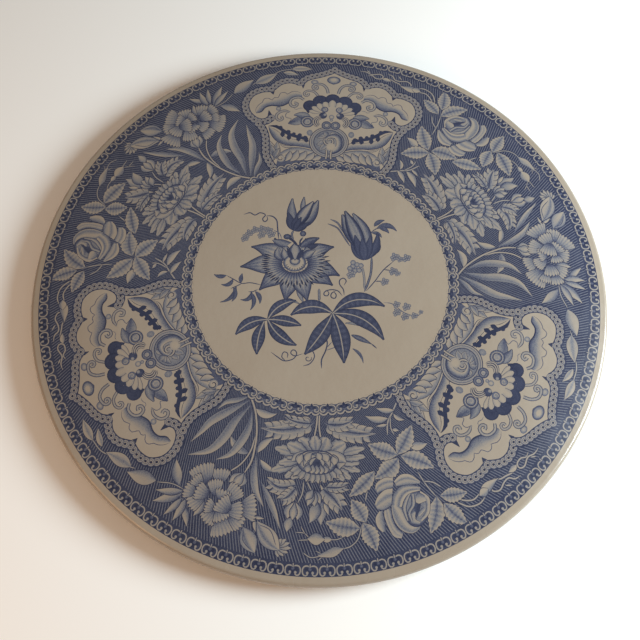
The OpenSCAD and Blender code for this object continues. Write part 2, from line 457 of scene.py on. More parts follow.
def fan_petals():
    """The white petals over the dark fan, and the berries and rings below them, on both sides."""
    art = Art()
    art.disc(0, 124.6, 5.0, FAN_TONES, 18)
    for side in (-1, 1):
        for tip_x, tip_y, half in (
                (14.2, 115.6, 1.3), (12.6, 118.8, 1.7), (9.2, 121.4, 2.0), (5, 123, 2.2)):
            art.leaf((side * tip_x * 0.3, 113.6), (side * tip_x, tip_y), half, 0,
                     (0.16, 0.03, 0.03, 0.16), (0, 0), 0.76, edge=0.2, rows=9, blunt=0.5)
    art.leaf((0, 113.6), (0, 124.6), 2.3, 0, (0.16, 0.03, 0.03, 0.16), belly=0.74, edge=0.2, rows=9,
             blunt=0.5)
    art.disc(0, 115.4, 4.4, (0.03, 0.03), 16)
    for side in (-1, 1):
        art.disc(side * 4.6, 117.1, 2.3, (0.3, 0.35, 0.6), 14)
        art.swirl(side * 4.6, 117.1, 1.5, 1.1 * side, 90, 0.4, (0.08, 0.08), 0)
        art.disc(side * 5.4, 112.5, 2.5, (0.6, 0.75, 0.85), 14)
        art.disc(side * 4.2, 113.2, 1.0, (0.1, 0.3), 10)
        for k in range(3):
            art.tube([(side * (5.0 + (6.2 - 1.3 * k) * math.sin(v)),
                       107.6 + (4.6 - 0.9 * k) * math.cos(v)) for v in np.linspace(0.3, 2.6, 8)], 0.7,
                     (0.15, 0.03, 0.15), 0.3, rows=9)
    for side in (-1, 1):
        art.disc(side * 2.8, 105.2, 3.1, (0.05, 0.05, INK), 16)
        art.disc(side * 2.8, 105.2, 1.9, (0.22, 0.18, INK), 12)
        art.swirl(side * 2.8, 105.2, 1.3, 1.0 * side, 60, 0.4, (0.08, 0.08), 0)
    art.disc(0, 111.6, 1.7, (0.03, 0.1, 0.5), 12)
    art.disc(0, 109.2, 1.1, (0.05, 0.5), 10)
    art.disc(-0.2, 141, 4.4, (0.05, 0.12, 0.75), 20, 0.72)
    art.band([(-4.2, 140.4), (-0.2, 138), (3.8, 140.4)], [(-4.2, 140.2), (-0.2, 137.4), (3.8, 140.2)],
             (0.5, 0.85), 9)
    art.disc(-0.2, 141.3, 2.9, (0.03, 0.03, 0.3), 16, 0.7)
    return art


def foot_ball():
    """The big swirling ball at the foot of a cartouche."""
    art = Art()
    x, y = -0.6, 92.8
    for r, tone in ((12.3, INK), (11.8, 0.14), (11, 0.6), (10.7, 0.2), (9.6, 0.8), (9.1, 0.4)):
        art.disc(x, y, r, (tone, tone), 32, 0.94)
    art.disc(x, y, 9.1, (0.18, 0.22, 0.36), 32, 0.94)
    for side in (-1, 1):
        for k in range(3):
            art.leaf((x + side * 1.5, y + 4.5), (x + side * (7.4 - 1.9 * k), y + 2.5 + 2.3 * k), 1.5,
                     0.5 * side, (0.1, 0.3, 0.5), edge=0.25, rows=7)
    each(art.leaf,
         (((x - 2, y + 1), (x - 7.6, y - 2), 1.9, 0.8), ((x - 2, y - 1), (x - 5.6, y - 6), 1.7, 0.6)),
         (0.1, 0.35, 0.1), edge=0.25, rows=8)
    art.band([(x + 1, y - 9), (x + 6.8, y - 5.6), (x + 8.3, y + 0.5), (x + 5.6, y + 5.6), (x, y + 5.2),
              (x - 3.2, y + 2.4)],
             [(x + 0.5, y - 7.6), (x + 4, y - 4), (x + 4.8, y), (x + 3.6, y + 3), (x + 0.6, y + 3.4),
              (x - 1.8, y + 1.6)], (0.7, 0.4, 0.12, 0.03), 16, 0.35)
    art.swirl(x + 0.3, y + 0.8, 3.6, 1.2, 150, 1.0, (0.2, 0.02, 0.2), 0.4)
    art.disc(x + 1.4, y - 3.4, 2.9, (0.02, 0.02, 0.1), 14)
    for side in (-1, 1):
        art.tube([(side * 1.5 - 0.3, 80.6), (side * 1.3 - 0.3, 84), (side * 1.6 - 0.3, 87.2)], 0.9,
                 (0.12, 0.02, 0.12), 0.35, ends=(1, 0.6))
    return art


# ------------------------------------------------------------------ flower panel
def rose(art):
    """A full rose seen from the side, its heart turned to the left."""
    each(art.band,
         (([(-41.7, 136.7), (-41.3, 133.3), (-40.3, 129.3), (-39.7, 126.8)],
           [(-40, 137.2), (-37.4, 134.6), (-36.4, 130.6), (-38, 127.3)], (0.45, 0.25, 0.08, 0.03)),
          ([(-50.7, 137.2), (-47.3, 134.3), (-45.3, 130.7), (-44.3, 126.7), (-43.3, 125.3)],
           [(-50, 139.7), (-46.4, 139.2), (-43.6, 135.6), (-41, 129.8), (-40.7, 126.7)],
           (0.55, 0.25, 0.06, 0.22, 0.1, 0.03)),
          ([(-44.8, 114.6), (-40.7, 116.2), (-37, 118)],
           [(-44.6, 109.9), (-40.4, 110), (-36.2, 113), (-35.6, 115.9)],
           (0.45, 0.18, 0.08, 0.34, 0.04, 0.04)),
          ([(-44.2, 123.6), (-40.6, 126.2), (-37.2, 126.2)],
           [(-44.6, 115.2), (-40.4, 116.4), (-37, 120), (-35.8, 123.6)],
           (0.42, 0.18, 0.08, 0.34, 0.04, 0.04)),
          ([(-58.8, 111.9), (-53, 112.9), (-46.6, 114)],
           [(-58.6, 110.6), (-53.4, 107.6), (-48.6, 108), (-45.2, 111.6)],
           (0.45, 0.18, 0.08, 0.34, 0.03, 0.03)),
          ([(-60.4, 130), (-59.2, 134.2), (-55.4, 137), (-50, 135.8), (-46.2, 131.6), (-44.6, 126.6),
            (-44.5, 123.4)],
           [(-60, 130), (-57.4, 132.4), (-54.8, 132.8), (-52.6, 130.4), (-51.2, 127), (-49.6, 124.6),
            (-46, 123.4)], (0.04, 0.36, 0.2, 0.04, 0.1, 0.5))), 14, 0.5)
    # the heart: small petals that curl around a dark hollow
    art.disc(-57.2, 124.6, 6.7, (0.6, 0.45, 0.32, 0.26, INK), 22, 1.38)
    art.leaf((-58.8, 118.6), (-57.4, 129.8), 1.7, -0.6, (0.86, 0.8, 0.6), edge=0)
    each(art.band,
         (([(-60.2, 130.8), (-63.6, 127), (-64.2, 123.2), (-63.6, 118.6), (-59, 115.6)],
           [(-59.4, 129.8), (-61.8, 126.6), (-62.4, 123), (-61.2, 119.2), (-58.6, 117.4)],
           (0.04, 0.08, 0.45)),
          ([(-59.6, 131.2), (-56.8, 129.8), (-56.8, 126.6)],
           [(-58.6, 132.6), (-54.2, 131.8), (-53.6, 127.6), (-56.4, 125.8)], (0.08, 0.18, 0.55)),
          ([(-62.2, 120.4), (-58.6, 122), (-56.8, 121.4)], [(-61.4, 118), (-58.6, 116.8), (-56.4, 118.2)],
           (0.03, 0.12, 0.45)),
          ([(-61.8, 125), (-60, 127.4), (-58.6, 128.6)], [(-61, 123.6), (-59, 125.6), (-58, 127.4)],
           (0.04, 0.2, 0.5)),
          ([(-55.6, 130.8), (-54.4, 127), (-56.6, 122.6), (-56, 117.6)],
           [(-54.6, 131.4), (-52.6, 127), (-54.6, 122.6), (-54, 117)], (0.6, 0.05, 0.3, 0.65)),
          ([(-53.4, 130.8), (-52, 125.6), (-52.8, 121), (-54.2, 117.2)],
           [(-52.6, 131), (-50, 125.2), (-50.8, 121), (-53, 117)], (0.55, 0.06, 0.2, 0.55)),
          ([(-49.6, 124.4), (-50.6, 120.8), (-53.2, 117.4), (-58.9, 115.4)],
           [(-44.6, 123.6), (-45, 118.6), (-48.4, 114.2), (-53.6, 112.9), (-58.9, 113.4)],
           (0.03, 0.04, 0.42, 0.16, 0.05, 0.3, 0.5))), 12, 0.4)


def rose_branch():
    """The rose in the left of a flower panel, with its leaves and hips."""
    art = Art()
    each(art.tube,
         (([(-30.8, 122.5), (-31.8, 116), (-34.4, 111.2)], 0.8),
          ([(-67.4, 118), (-62.4, 112.8), (-57.4, 106)], 0.75),
          ([(-70, 113), (-65.4, 110.8), (-60.2, 110.6)], 0.75)), edge=0.35)
    art.tube([(-45.6, 69), (-43, 75.6), (-40.9, 81), (-41, 87.4)], 0.95, edge=0.35, ends=(1, 0.4))
    art.tube([(-44.6, 87.4), (-42.6, 83.4), (-42.2, 77.6)], 0.7, edge=0.3)
    each(art.leaf,
         (((-40.8, 78.6), (-28.8, 78), 1.9, 1.4), ((-44, 74), (-34.4, 73.4), 1.5, 0.8),
          ((-44, 76), (-50, 78.8), 1.1, -1.0), ((-40.6, 82), (-34.8, 83.2), 0.9, 0.3),
          ((-43.6, 84.6), (-47, 84.9), 1.0, 0.2), ((-53, 92.8), (-62.2, 90.8), 2.3, -0.6)), SHADED)
    each(art.leaf,
         (((-67.5, 118), (-64.6, 136.4), 4.5, 1.4), ((-69.4, 117.4), (-83.5, 114.6), 3.9, -0.5),
          ((-71.5, 121), (-84, 130.5), 4.2, -0.8), ((-48.4, 98.2), (-66, 103.4), 4.7, 0.8),
          ((-47, 99.5), (-35, 110.4), 5.0, 1.4), ((-46.4, 97.6), (-53.6, 81.6), 4.6, -0.6),
          ((-46.6, 97.6), (-31, 93), 4.8, 0.8), ((-34.8, 107), (-22.2, 120.5), 4.0, 0.8),
          ((-28.6, 136), (-11, 133.8), 4.9, 0.9), ((-30, 133.4), (-37.6, 146.6), 4.4, 0.6),
          ((-31.4, 133), (-23.4, 122.2), 4.5, -0.4)), VEINED, belly=0.44, teeth=8, lean=0.4, veins=8)
    rose(art)
    # hips with long tails
    art.tube([(-29.4, 134.5), (-28, 141), (-24.4, 145), (-20, 146.6)], 0.65, edge=0.35)
    each(art.tube,
         (([(-10, 150.4), (-4.4, 151.5), (-0.4, 149.4)], 0.6), ([(-10.6, 150.6), (-8, 152.8)], 0.5),
          ([(-10.6, 149.8), (-6.6, 148.2)], 0.5)), edge=0.3)
    art.band([(-21, 146.2), (-16.4, 150.4), (-11, 151), (-8, 150.8)],
             [(-21, 146.2), (-16, 145.8), (-12, 148), (-8, 150.2)], (0.05, 0.12, 0.35), 10, 0.5)
    art.tube([(-20, 141), (-17, 142.2), (-13.6, 142.4)], 0.6, edge=0.35)
    for tail in (((-3.6, 143), (2.6, 143.6)), ((-3, 142.2), (-0.4, 140), (4, 139.8)),
                 ((-1, 140.6), (1.6, 136.8))):
        art.tube(tail, 0.55, edge=0.3)
    art.leaf((-14.4, 142.3), (-9, 142.5), 1.5, 0, SHADED_R)
    art.leaf((-11, 142.4), (-2.2, 142.6), 2.9, 0, SHADED_R, belly=0.5)
    return art


def jagged(art, base, tip, half, bow, lobes):
    """An acanthus leaf: pointed lobes that lean towards the tip, around an inked midrib."""
    base, length, along, across = axes(base, tip)
    for k in range(lobes):
        s = 0.12 + 0.72 * k / max(lobes - 1, 1)
        root = base + along * s * length + across * 4 * bow * s * (1 - s)
        reach = half * math.sin(math.pi * (0.2 + 0.68 * s)) ** 0.8
        for side in (1, -1):
            lobe_tip = root + across * side * reach + along * 2.2 * (1.5 - 0.4 * s)
            art.leaf(root - along * 1.4, lobe_tip, reach * 0.44, side * 0.7,
                     (0.03, 0.05, 0.12, 0.34)[::side], (0.3, 0), 0.45, edge=0.3, rows=9, blunt=1.3)
    art.leaf(base, tip, half * 0.52, bow, (0.05, 0.1, 0.3, 0.5, 0.3, 0.1, 0.05), (0.25, 0), 0.4, edge=0)
    art.stroke([base, base + along * length / 2 + across * bow, base + (tip - base) * 0.93], 0.55, 0.75,
               ends=(0.8, 0.1))


def peony_branch():
    """The peony in the middle of a flower panel."""
    art = Art()
    for path in (((-6, 92), (-4.7, 86), (-4.3, 78.8)), ((-2.4, 90.4), (-3.1, 85), (-3.3, 78.8))):
        art.tube(path, 0.85, (0.15, 0.03, 0.15), 0.4, ends=(0.6, 1))
    for leaf in (((-7.4, 82.6), (-35, 87.2), 5.4, -2.4, 6), ((-9, 83.6), (-22.6, 81), 3.8, -1.2, 4),
                 ((-1.6, 83), (26.4, 87.6), 5.4, 2.4, 6), ((0, 83.8), (14.4, 81), 2.6, 1.0, 4)):
        jagged(art, *leaf)
    # leaves and buds above the bloom
    each(art.tube,
         (([(4, 125.2), (2, 120.5), (1.6, 114.5)], 0.8), ([(-3.6, 120), (-1.6, 117), (0, 114)], 0.8)),
         edge=0.35)
    art.leaf((-7, 115.4), (-12.6, 129), 1.1, 0.8, SHADED)
    for leaf in (((-8.6, 117.6), (-19, 127.6), 4.6, 0.8, 4),
                 ((-10.6, 116.6), (-21.4, 115.2), 2.2, -0.6, 4), ((5.4, 116.4), (21, 114.4), 3.6, 2.6, 5),
                 ((6, 118.4), (13, 124.4), 3.2, 0.9, 4)):
        jagged(art, *leaf)
    each(art.leaf,
         (((-8.8, 124), (-8.6, 135.6), 3.0, -0.6, (0.3, 0.06, 0.1, 0.4)),
          ((-6, 124.4), (-2.8, 134.8), 2.9, 0.6, (0.4, 0.1, 0.04, 0.1))), (0.35, 0))
    art.leaf((-9.6, 125), (-12.2, 130.4), 1.2, 0.3, SHADED)
    for tip in ((-7.6, 125), (-4.6, 126.6), (-1, 126.4), (0.2, 123.4)):
        art.leaf((-3.6, 118), tip, 1.9, 0.2, (0.35, 0.08, 0.05, 0.3), (0.3, 0), 0.55)
    art.leaf((7, 133), (8.6, 139.8), 2.3, -0.4, (0.3, 0.08, 0.05, 0.3), (0.2, 0))
    each(art.leaf,
         (((5, 125), (3.6, 133.6), 2.2, 0.9, SHADED), ((6, 125), (8.8, 133.2), 2.3, -0.9, SHADED_R)),
         belly=0.6)
    art.leaf((5.4, 124.8), (6.2, 133.8), 2.0, 0, (0.35, 0.06, 0.03, 0.3), (0.3, 0), 0.6)
    # the bloom: side petals, toothed back petals, then the bowl and the lower petals
    cx, cy = -4.6, 103.5
    for tip_x, tip_y, half in (
            (-27.4, 107.6, 2.2), (-26.8, 103.6, 2.3), (-29.6, 99.8, 2.5), (-29.2, 95.4, 2.4),
            (-22.6, 111.6, 2.6), (-19.2, 112.6, 2.4), (11.4, 112.8, 2.6), (19, 109.8, 2.8),
            (15.4, 105.6, 2.6), (13.4, 101, 2.4), (18, 97.8, 2.8), (8, 113.4, 2.2)):
        art.leaf((cx + (tip_x - cx) * 0.36, cy + (tip_y - cy) * 0.36), (tip_x, tip_y), half,
                 0.5 if tip_x < cx else -0.5, (0.3, 0.14, 0.05, 0.26, 0.05, 0.1, 0.28), (0.35, 0), 0.6,
                 teeth=4, lean=0.9, edge=0.4)
    for tip_x, tip_y, half in (
            (-19, 93.2, 4.4), (-9, 90.8, 4.6), (5.6, 92, 4.4), (11.6, 95.2, 3.6), (-2.4, 90.2, 3.4)):
        art.leaf((cx + (tip_x - cx) * 0.2, cy - 3), (tip_x, tip_y), half, 0,
                 (0.35, 0.12, 0.04, 0.3, 0.04, 0.12, 0.35), (0.4, 0), 0.62, edge=0.4, teeth=4, lean=0.5,
                 blunt=0.8)
    for k in range(9):
        x = -17 + 3.1 * k
        art.frill((cx + (x - cx) * 0.5, 105.4), (x, 114.6 - 0.028 * (x - cx) ** 2), 2.3, 2,
                  (0.55, 0.3, 0.12, 0.05), cup=0.2, depth=1.6)
    art.leaf((-16.4, 107), (-19.6, 100.4), 2.2, 1.0, SHADED, (0.1, 0.1), 0.5)
    each(art.band,
         (([(-20, 103.4), (-18.4, 99.6), (-13, 97.6), (-5, 99)],
           [(-20, 103.4), (-15.6, 103.4), (-11, 101.8), (-5, 101)]),
          ([(9, 104.4), (7.4, 100.4), (2, 98.6), (-5, 99)],
           [(9, 104.4), (5.8, 104), (2, 102), (-5, 101)])), (0.3, 0.08, 0.12, 0.45), 10, 0.5)
    art.disc(cx, 104.8, 10.4, (0.5, 0.35, 0.2, 0.12, INK), 26, 0.56)
    art.disc(cx - 0.2, 104.4, 5.4, (0.9, 0.75, 0.55, 0.4), 20, 0.6)
    for side in (-1, 1):
        art.leaf((cx + 6.6 * side, 106.4), (cx + 0.6 * side, 100.9), 1.7, 1.9 * side,
                 (0.3, 0.06, 0.04, 0.14, 0.4)[::-side], (0.1, 0.1), 0.5)
        art.leaf((cx + 3.4 * side, 106), (cx + 0.5 * side, 102), 0.9, 0.9 * side, (0.3, 0.06, 0.3),
                 edge=0.3, rows=8)
    for k in range(5):
        x = -9.6 + 2.5 * k
        art.leaf((cx + (x - cx) * 0.8, 105), (x, 110.2 - 0.03 * (x - cx) ** 2), 2.0, 0,
                 (0.32, 0.08, 0.04, 0.1, 0.32), (0.45, 0), 0.62, rows=8)
    each(art.leaf,
         (((-13.6, 105), (-12.4, 99.6), 1.9, -0.7), ((4.6, 105.4), (3.2, 99.8), 1.9, 0.7),
          ((-10, 103.6), (-7, 99.6), 1.9, -0.6), ((1, 104), (-1.6, 99.4), 1.8, 0.7),
          ((-6.4, 102.8), (-4.2, 99.2), 1.6, -0.2)), (0.25, 0.05, 0.04, 0.25), (0, 0.15), 0.45, edge=0.4,
         rows=8)
    art.stroke([(-14.8, 101.6), (-9.6, 98.6), (-4, 98), (1.6, 98.8), (5.4, 101.4)], 0.7, 0.8)
    return art


# Each petal's base, tip, half width and teeth.
CARNATION_PETALS = [
    ((44, 134), (40.6, 143), 6.6, 8), ((46, 131), (50.8, 137), 4.4, 6),
    ((39, 133), (31.6, 137.6), 4.6, 6), ((34, 129.4), (25.2, 128.6), 7.0, 8),
    ((41, 131), (32, 130.6), 4.6, 6), ((44.6, 130.4), (42.2, 136), 4.4, 6),
    ((46, 130.4), (51.2, 128.6), 3.8, 6), ((52, 124), (60.2, 129), 4.4, 6),
    ((57, 123), (63, 121), 4.4, 6), ((45, 118), (45, 110.2), 5.0, 7), ((52, 118.6), (56, 108.6), 6.8, 9),
    ((41.6, 126.4), (34.6, 119), 4.8, 7), ((54, 119.4), (58.6, 115), 3.6, 6),
    ((50, 124), (57, 121.2), 4.6, 6), ((46.4, 124.4), (47.6, 115.8), 4.0, 7),
    ((44, 126.4), (42.4, 121), 4.2, 6), ((38.6, 131.6), (44.6, 126.2), 5.2, 7)]
# Each strap leaf's path along its middle, and its half width.
STRAP_LEAVES = [([(24, 115.4), (19.6, 123), (15.6, 130.5), (12.2, 138.6)], 1.6),
                ([(27.6, 102.6), (27.8, 112), (26, 120.6), (21.4, 128.2)], 1.9),
                ([(31, 101.4), (35.6, 100), (39.4, 97), (42, 92.6)], 2.1),
                ([(32, 79), (32.8, 88), (37, 97), (41.6, 102.6), (48.4, 105.4)], 2.2),
                ([(33, 75.6), (40.4, 84.6), (45.6, 94), (52.6, 101), (63.2, 103.6)], 2.5),
                ([(34, 73), (43, 78.6), (52.6, 85), (57.6, 91), (62.6, 96.8)], 2.3),
                ([(34, 70.6), (40, 73), (46, 74.6), (50.4, 78.6)], 1.4)]


def strap(art, path, half):
    """A long leaf that follows a curved path, shaded along one side."""
    rows = 16
    spine = spline(path, rows)
    s = np.linspace(0, 1, rows)
    side = normals(spine) * (half * np.sin(math.pi * np.clip(s, 0.02, 0.985) ** 0.9))[:, None]
    art.grid(spine[:, None] + side[:, None] * (1 + 0.35 / half) * np.array([1, 0, -1.0])[None, :, None],
             np.full((1, 3), INK))
    t = np.array([1, 0.5, 0, -0.5, -1])
    art.grid(spine[:, None] + side[:, None] * t[None, :, None],
             np.array([[0.03, 0.05, 0.14, 0.3, 0.2]]) + 0.3 * (1 - s[:, None]) ** 2)


def carnation_branch():
    """The carnation in the right of a flower panel, with strap leaves and thistle buds."""
    art = Art()
    for path, half in STRAP_LEAVES:
        strap(art, path, half)
    art.tube([(33.6, 70), (30, 79), (28.3, 90), (28.8, 100), (30, 106), (32.8, 111.6)], 1.0,
             (0.2, 0.03, 0.1), 0.4, ends=(1, 0.5))
    art.tube([(29, 92.6), (30.6, 100), (35, 107), (41.4, 111.8)], 0.8, (0.2, 0.03, 0.1), 0.4)
    each(art.leaf,
         (((26.8, 100.6), (19, 92.6), 1.9, 1.2, SHADED), ((25, 104.4), (16, 109.8), 1.6, -1.4, SHADED_R),
          ((29.6, 77.4), (18.4, 79.4), 2.1, -1.9, SHADED)))
    # thistle buds along the top
    for tip in ((12, 152.2), (9.4, 151.6), (7.2, 150), (5.8, 147.6), (6.6, 145), (8.6, 143.2), (11, 143.2)):
        art.leaf((13.6, 147.4), tip, 1.15, 0, (0.2, 0.04, 0.2), (0.3, 0), 0.6, edge=0.3, rows=7)
    art.leaf((24, 135.6), (12, 148.6), 4.4, -0.6, (0.1, 0.03, 0.05, 0.12, 0.4, 0.1, 0.3), (0.1, 0), 0.55,
             blunt=0.7)
    art.stroke([(23, 137), (17, 139.6), (13.6, 146.6)], 0.45, 0.6)
    art.leaf((31, 138.8), (24.2, 150.6), 4.2, -0.2, (0.3, 0.1, 0.04, 0.06, 0.4, 0.12, 0.3), (0.2, 0), 0.5,
             blunt=0.8)
    art.stroke([(30.6, 140), (30.6, 145), (26.4, 149.4)], 0.45, 0.6)
    each(art.leaf, (((25.4, 134.6), (24.4, 140.6), 0.9, -0.3), ((26, 133.8), (20.6, 134), 0.8, 0.2)),
         SHADED)
    # calyx, blooms and the sprig on the right
    for tip, half in (((34.4, 118.6), 2.6), ((40.2, 116.6), 2.4), ((37.4, 118.4), 2.2)):
        art.leaf((32.8, 111.4), tip, half, 0, (0.3, 0.08, 0.04, 0.3), (0.2, 0), 0.6)
    each(art.leaf,
         (((63, 129.6), (60, 139.8), 1.7), ((62, 126.6), (67.6, 137.2), 1.9),
          ((64, 126), (72.6, 134.6), 1.6), ((64, 123.4), (79, 128), 2.3), ((64, 122.4), (78, 122.4), 1.8),
          ((66.2, 119.4), (69, 106.4), 2.6), ((52.4, 126.6), (57, 134.4), 2.0)), 0.5, SHADED, (0.25, 0))
    art.tube([(63.6, 121.4), (70, 118.9), (78, 118.4)], 0.6, edge=0.35)
    each(art.frill, CARNATION_PETALS)
    return art


def top_sprays():
    """Leaves above the left of a cartouche and tailed hips above its right, in the cartouche's own frame."""
    left, right = Art(), Art()
    each(left.tube,
         (([(-52, 134), (-50, 136.4), (-48, 137)], 0.6),
          ([(-38.6, 144.6), (-34, 147.4), (-27, 149)], 0.7)), edge=0.35)
    each(left.leaf,
         (((-62.6, 127), (-51.6, 138.6), 3.7, 0.4, SHADED_R),
          ((-50, 136), (-37, 144.8), 3.3, -0.4, (0.05, 0.1, 0.3, 0.08, 0.04))), (0.1, 0))
    left.leaf((-27.6, 149), (-14.8, 149.6), 2.3, 0.4, (0.05, 0.05, 0.3, 0.12, 0.04))
    left.leaf((-33, 145.6), (-23.2, 143.9), 1.7, 0.6, (0.04, 0.04, 0.28, 0.1))
    for path in (((16.4, 150), (20.4, 149.6), (24, 147.6), (29, 148.4), (31.4, 146.6), (30, 144.4),
                  (26.4, 144.8), (24.4, 146.8), (21.4, 146.4)), ((21, 151), (23, 149)),
                 ((34.4, 149), (37.6, 147.4), (39, 144.4), (42.4, 143.4), (47, 143.6), (49.6, 140.6),
                  (47, 138.2)), ((35.4, 145), (39, 142.6), (42, 141), (43.6, 138.4), (46, 137)),
                 ((41.4, 147.6), (43.4, 144.8)), ((54.4, 138.8), (59, 138), (63.4, 134), (65, 127)),
                 ((54.4, 135.4), (59, 134.4), (62, 130.6), (63, 127.4))):
        right.tube(path, 0.85, (0.2, 0.04, 0.2), 0.35)
    right.leaf((31, 144.4), (36.6, 142.8), 1.5, 0.3, SHADED_R)
    right.leaf((42, 140), (55.6, 136.4), 2.4, -0.8, SHADED, belly=0.6)
    right.leaf((50, 138), (55.6, 136), 2.2, 0, SHADED, belly=0.5)
    return left, right


# ------------------------------------------------------------------ bouquet
def dark_leaf(art, base, tip, half, bow):
    """A dark leaf with a thin light midrib and herringbone shading."""
    art.leaf(base, tip, half, bow, DARK, (0.05, 0.06), 0.5, edge=0.3, veins=9)
    base, _, _, across = axes(base, tip)
    rib = [base + (tip - base) * s + across * 4 * bow * s * (1 - s) for s in (0, 0.25, 0.5, 0.75, 0.94)]
    art.stroke(rib, 0.75, (0.3, 0.02, 0.3), ends=(1, 0.1))


def blossom(art, x, y, r, tone=0.42):
    """A faint tuft of small florets."""
    for k in range(9):
        a, d = 2.4 * k, r * 0.3 * math.sqrt(k)
        art.disc(x + d * math.cos(a), y + d * math.sin(a), 0.32 * r + 0.2,
                 (tone * 0.3, tone * 0.6, tone * 1.5), 8)


def passion_flower(art):
    """The open flower, with pointed petals and a crown of filaments."""
    cx, cy = -14.8, 10.2
    for tip, half, bow in (
            ((-8.6, 26.4), 4.2, -1.0), ((-27, 26.6), 3.6, 0.8), ((-40.4, 20.8), 5.4, -1.8),
            ((7.8, 20.8), 5.4, 1.8), ((-34.8, -6.6), 5.4, -1.0), ((7, -3.6), 5.6, 0.8),
            ((-20, -13.6), 5.2, -0.4), ((-7.4, -13.4), 5.2, 0.4), ((-46.2, 8), 5.8, -0.8),
            ((11, 2.4), 5.6, 1.4)):
        base = (cx + (tip[0] - cx) * 0.22, cy + (tip[1] - cy) * 0.22)
        art.leaf(base, tip, half, bow, (0.56, 0.36, 0.14, 0.3, 0.06, 0.3, 0.14, 0.36, 0.56), (-0.3, 0.5),
                 0.36, edge=0.4, rows=13, blunt=1.25)
    # the crown of filaments, with inked ends
    count = 60
    a = np.radians(np.linspace(152, 392, count + 1))
    radii = np.array([6.6, 9, 12, 15.6])
    rows = np.stack([cx + 1.12 * radii[:, None] * np.cos(a), cy + 0.86 * radii[:, None] * np.sin(a)], -1)
    shade = np.where(even(count + 1), 0.03, 0.42)[None] + np.array([[0.72], [0.32], [0.06], [0.0]])
    art.grid(rows, np.clip(shade, 0, 0.95))
    for k in range(44):
        v = math.radians(156 + 232 * k / 43)
        dx, dy = 1.12 * math.cos(v), 0.86 * math.sin(v)
        r = 13.4 + 1.2 * math.sin(3.1 * k)
        art.stroke([(cx + r * dx, cy + r * dy), (cx + (r + 3.8) * dx, cy + (r + 3.8) * dy)], 1.0, 0.95,
                   rows=3)
    # leaf, column and arms at the top
    art.band([(-28.4, 25.2), (-25, 21.4), (-21, 20.4)], [(-28.4, 25.2), (-23, 25.6), (-17, 23.6)],
             (0.75, 0.35, 0.3, 0.7), 8, 0.4)
    art.leaf((-11.6, 20.8), (-0.8, 26.6), 2.4, 0.6, (0.75, 0.35, 0.6, 0.7), (0, 0.1))
    art.leaf((-8, 21.6), (-1.8, 22.4), 1.6, -0.8, (0.85, 0.7, 0.85))
    each(art.leaf,
         (((-22, 13), (-24.6, 20.4), 2.6, 1.2, (0.5, 0.12, 0.4, 0.12)),
          ((-18.4, 12), (-21.4, 19.8), 2.2, 0.8, (0.6, 0.12, 0.1, 0.6)),
          ((-10, 13), (-3, 18.6), 2.4, 0.8, (0.7, 0.2, 0.1, 0.6))), (0.3, 0))
    art.disc(cx - 0.2, cy + 0.4, 6.6, (0.3, 0.3, 0.03, 0.03, INK), 26, 0.84)
    for k in range(9):
        v = math.radians(200 + 140 * k / 8)
        art.stroke([(cx + 4.4 * math.cos(v), cy + 0.4 + 3.6 * math.sin(v)),
                    (cx + 5.6 * math.cos(v), cy + 0.4 + 4.6 * math.sin(v))], 0.6, 0.9, rows=3)
    art.disc(cx, cy + 1.6, 3.2, (0.06, 0.1, 0.85), 16, 0.8)
    art.leaf((cx, cy + 2), (-15, 23.4), 3.3, 0, (0.75, 0.1, 0.05, 0.1, 0.75), (0.15, 0.2), 0.55)
    each(art.leaf, (((-16.4, 12.6), (-19.4, 20)), ((-13.4, 12.6), (-10.4, 19))), 1.0, 0, (0.85, 0.85))
    art.stroke([(-13.6, 21.6), (-16, 24.6), (-19, 26.8)], 1.5, 0.85)
    art.disc(-19.6, 27.4, 2.3, (0.4, 0.6, 0.9), 12, 0.8)
    art.stroke([(-11.4, 20.6), (-12.2, 24), (-10.4, 27)], 1.0, 0.85)
    art.disc(-10.4, 29.4, 1.9, (0.3, 0.5, 0.8), 12)


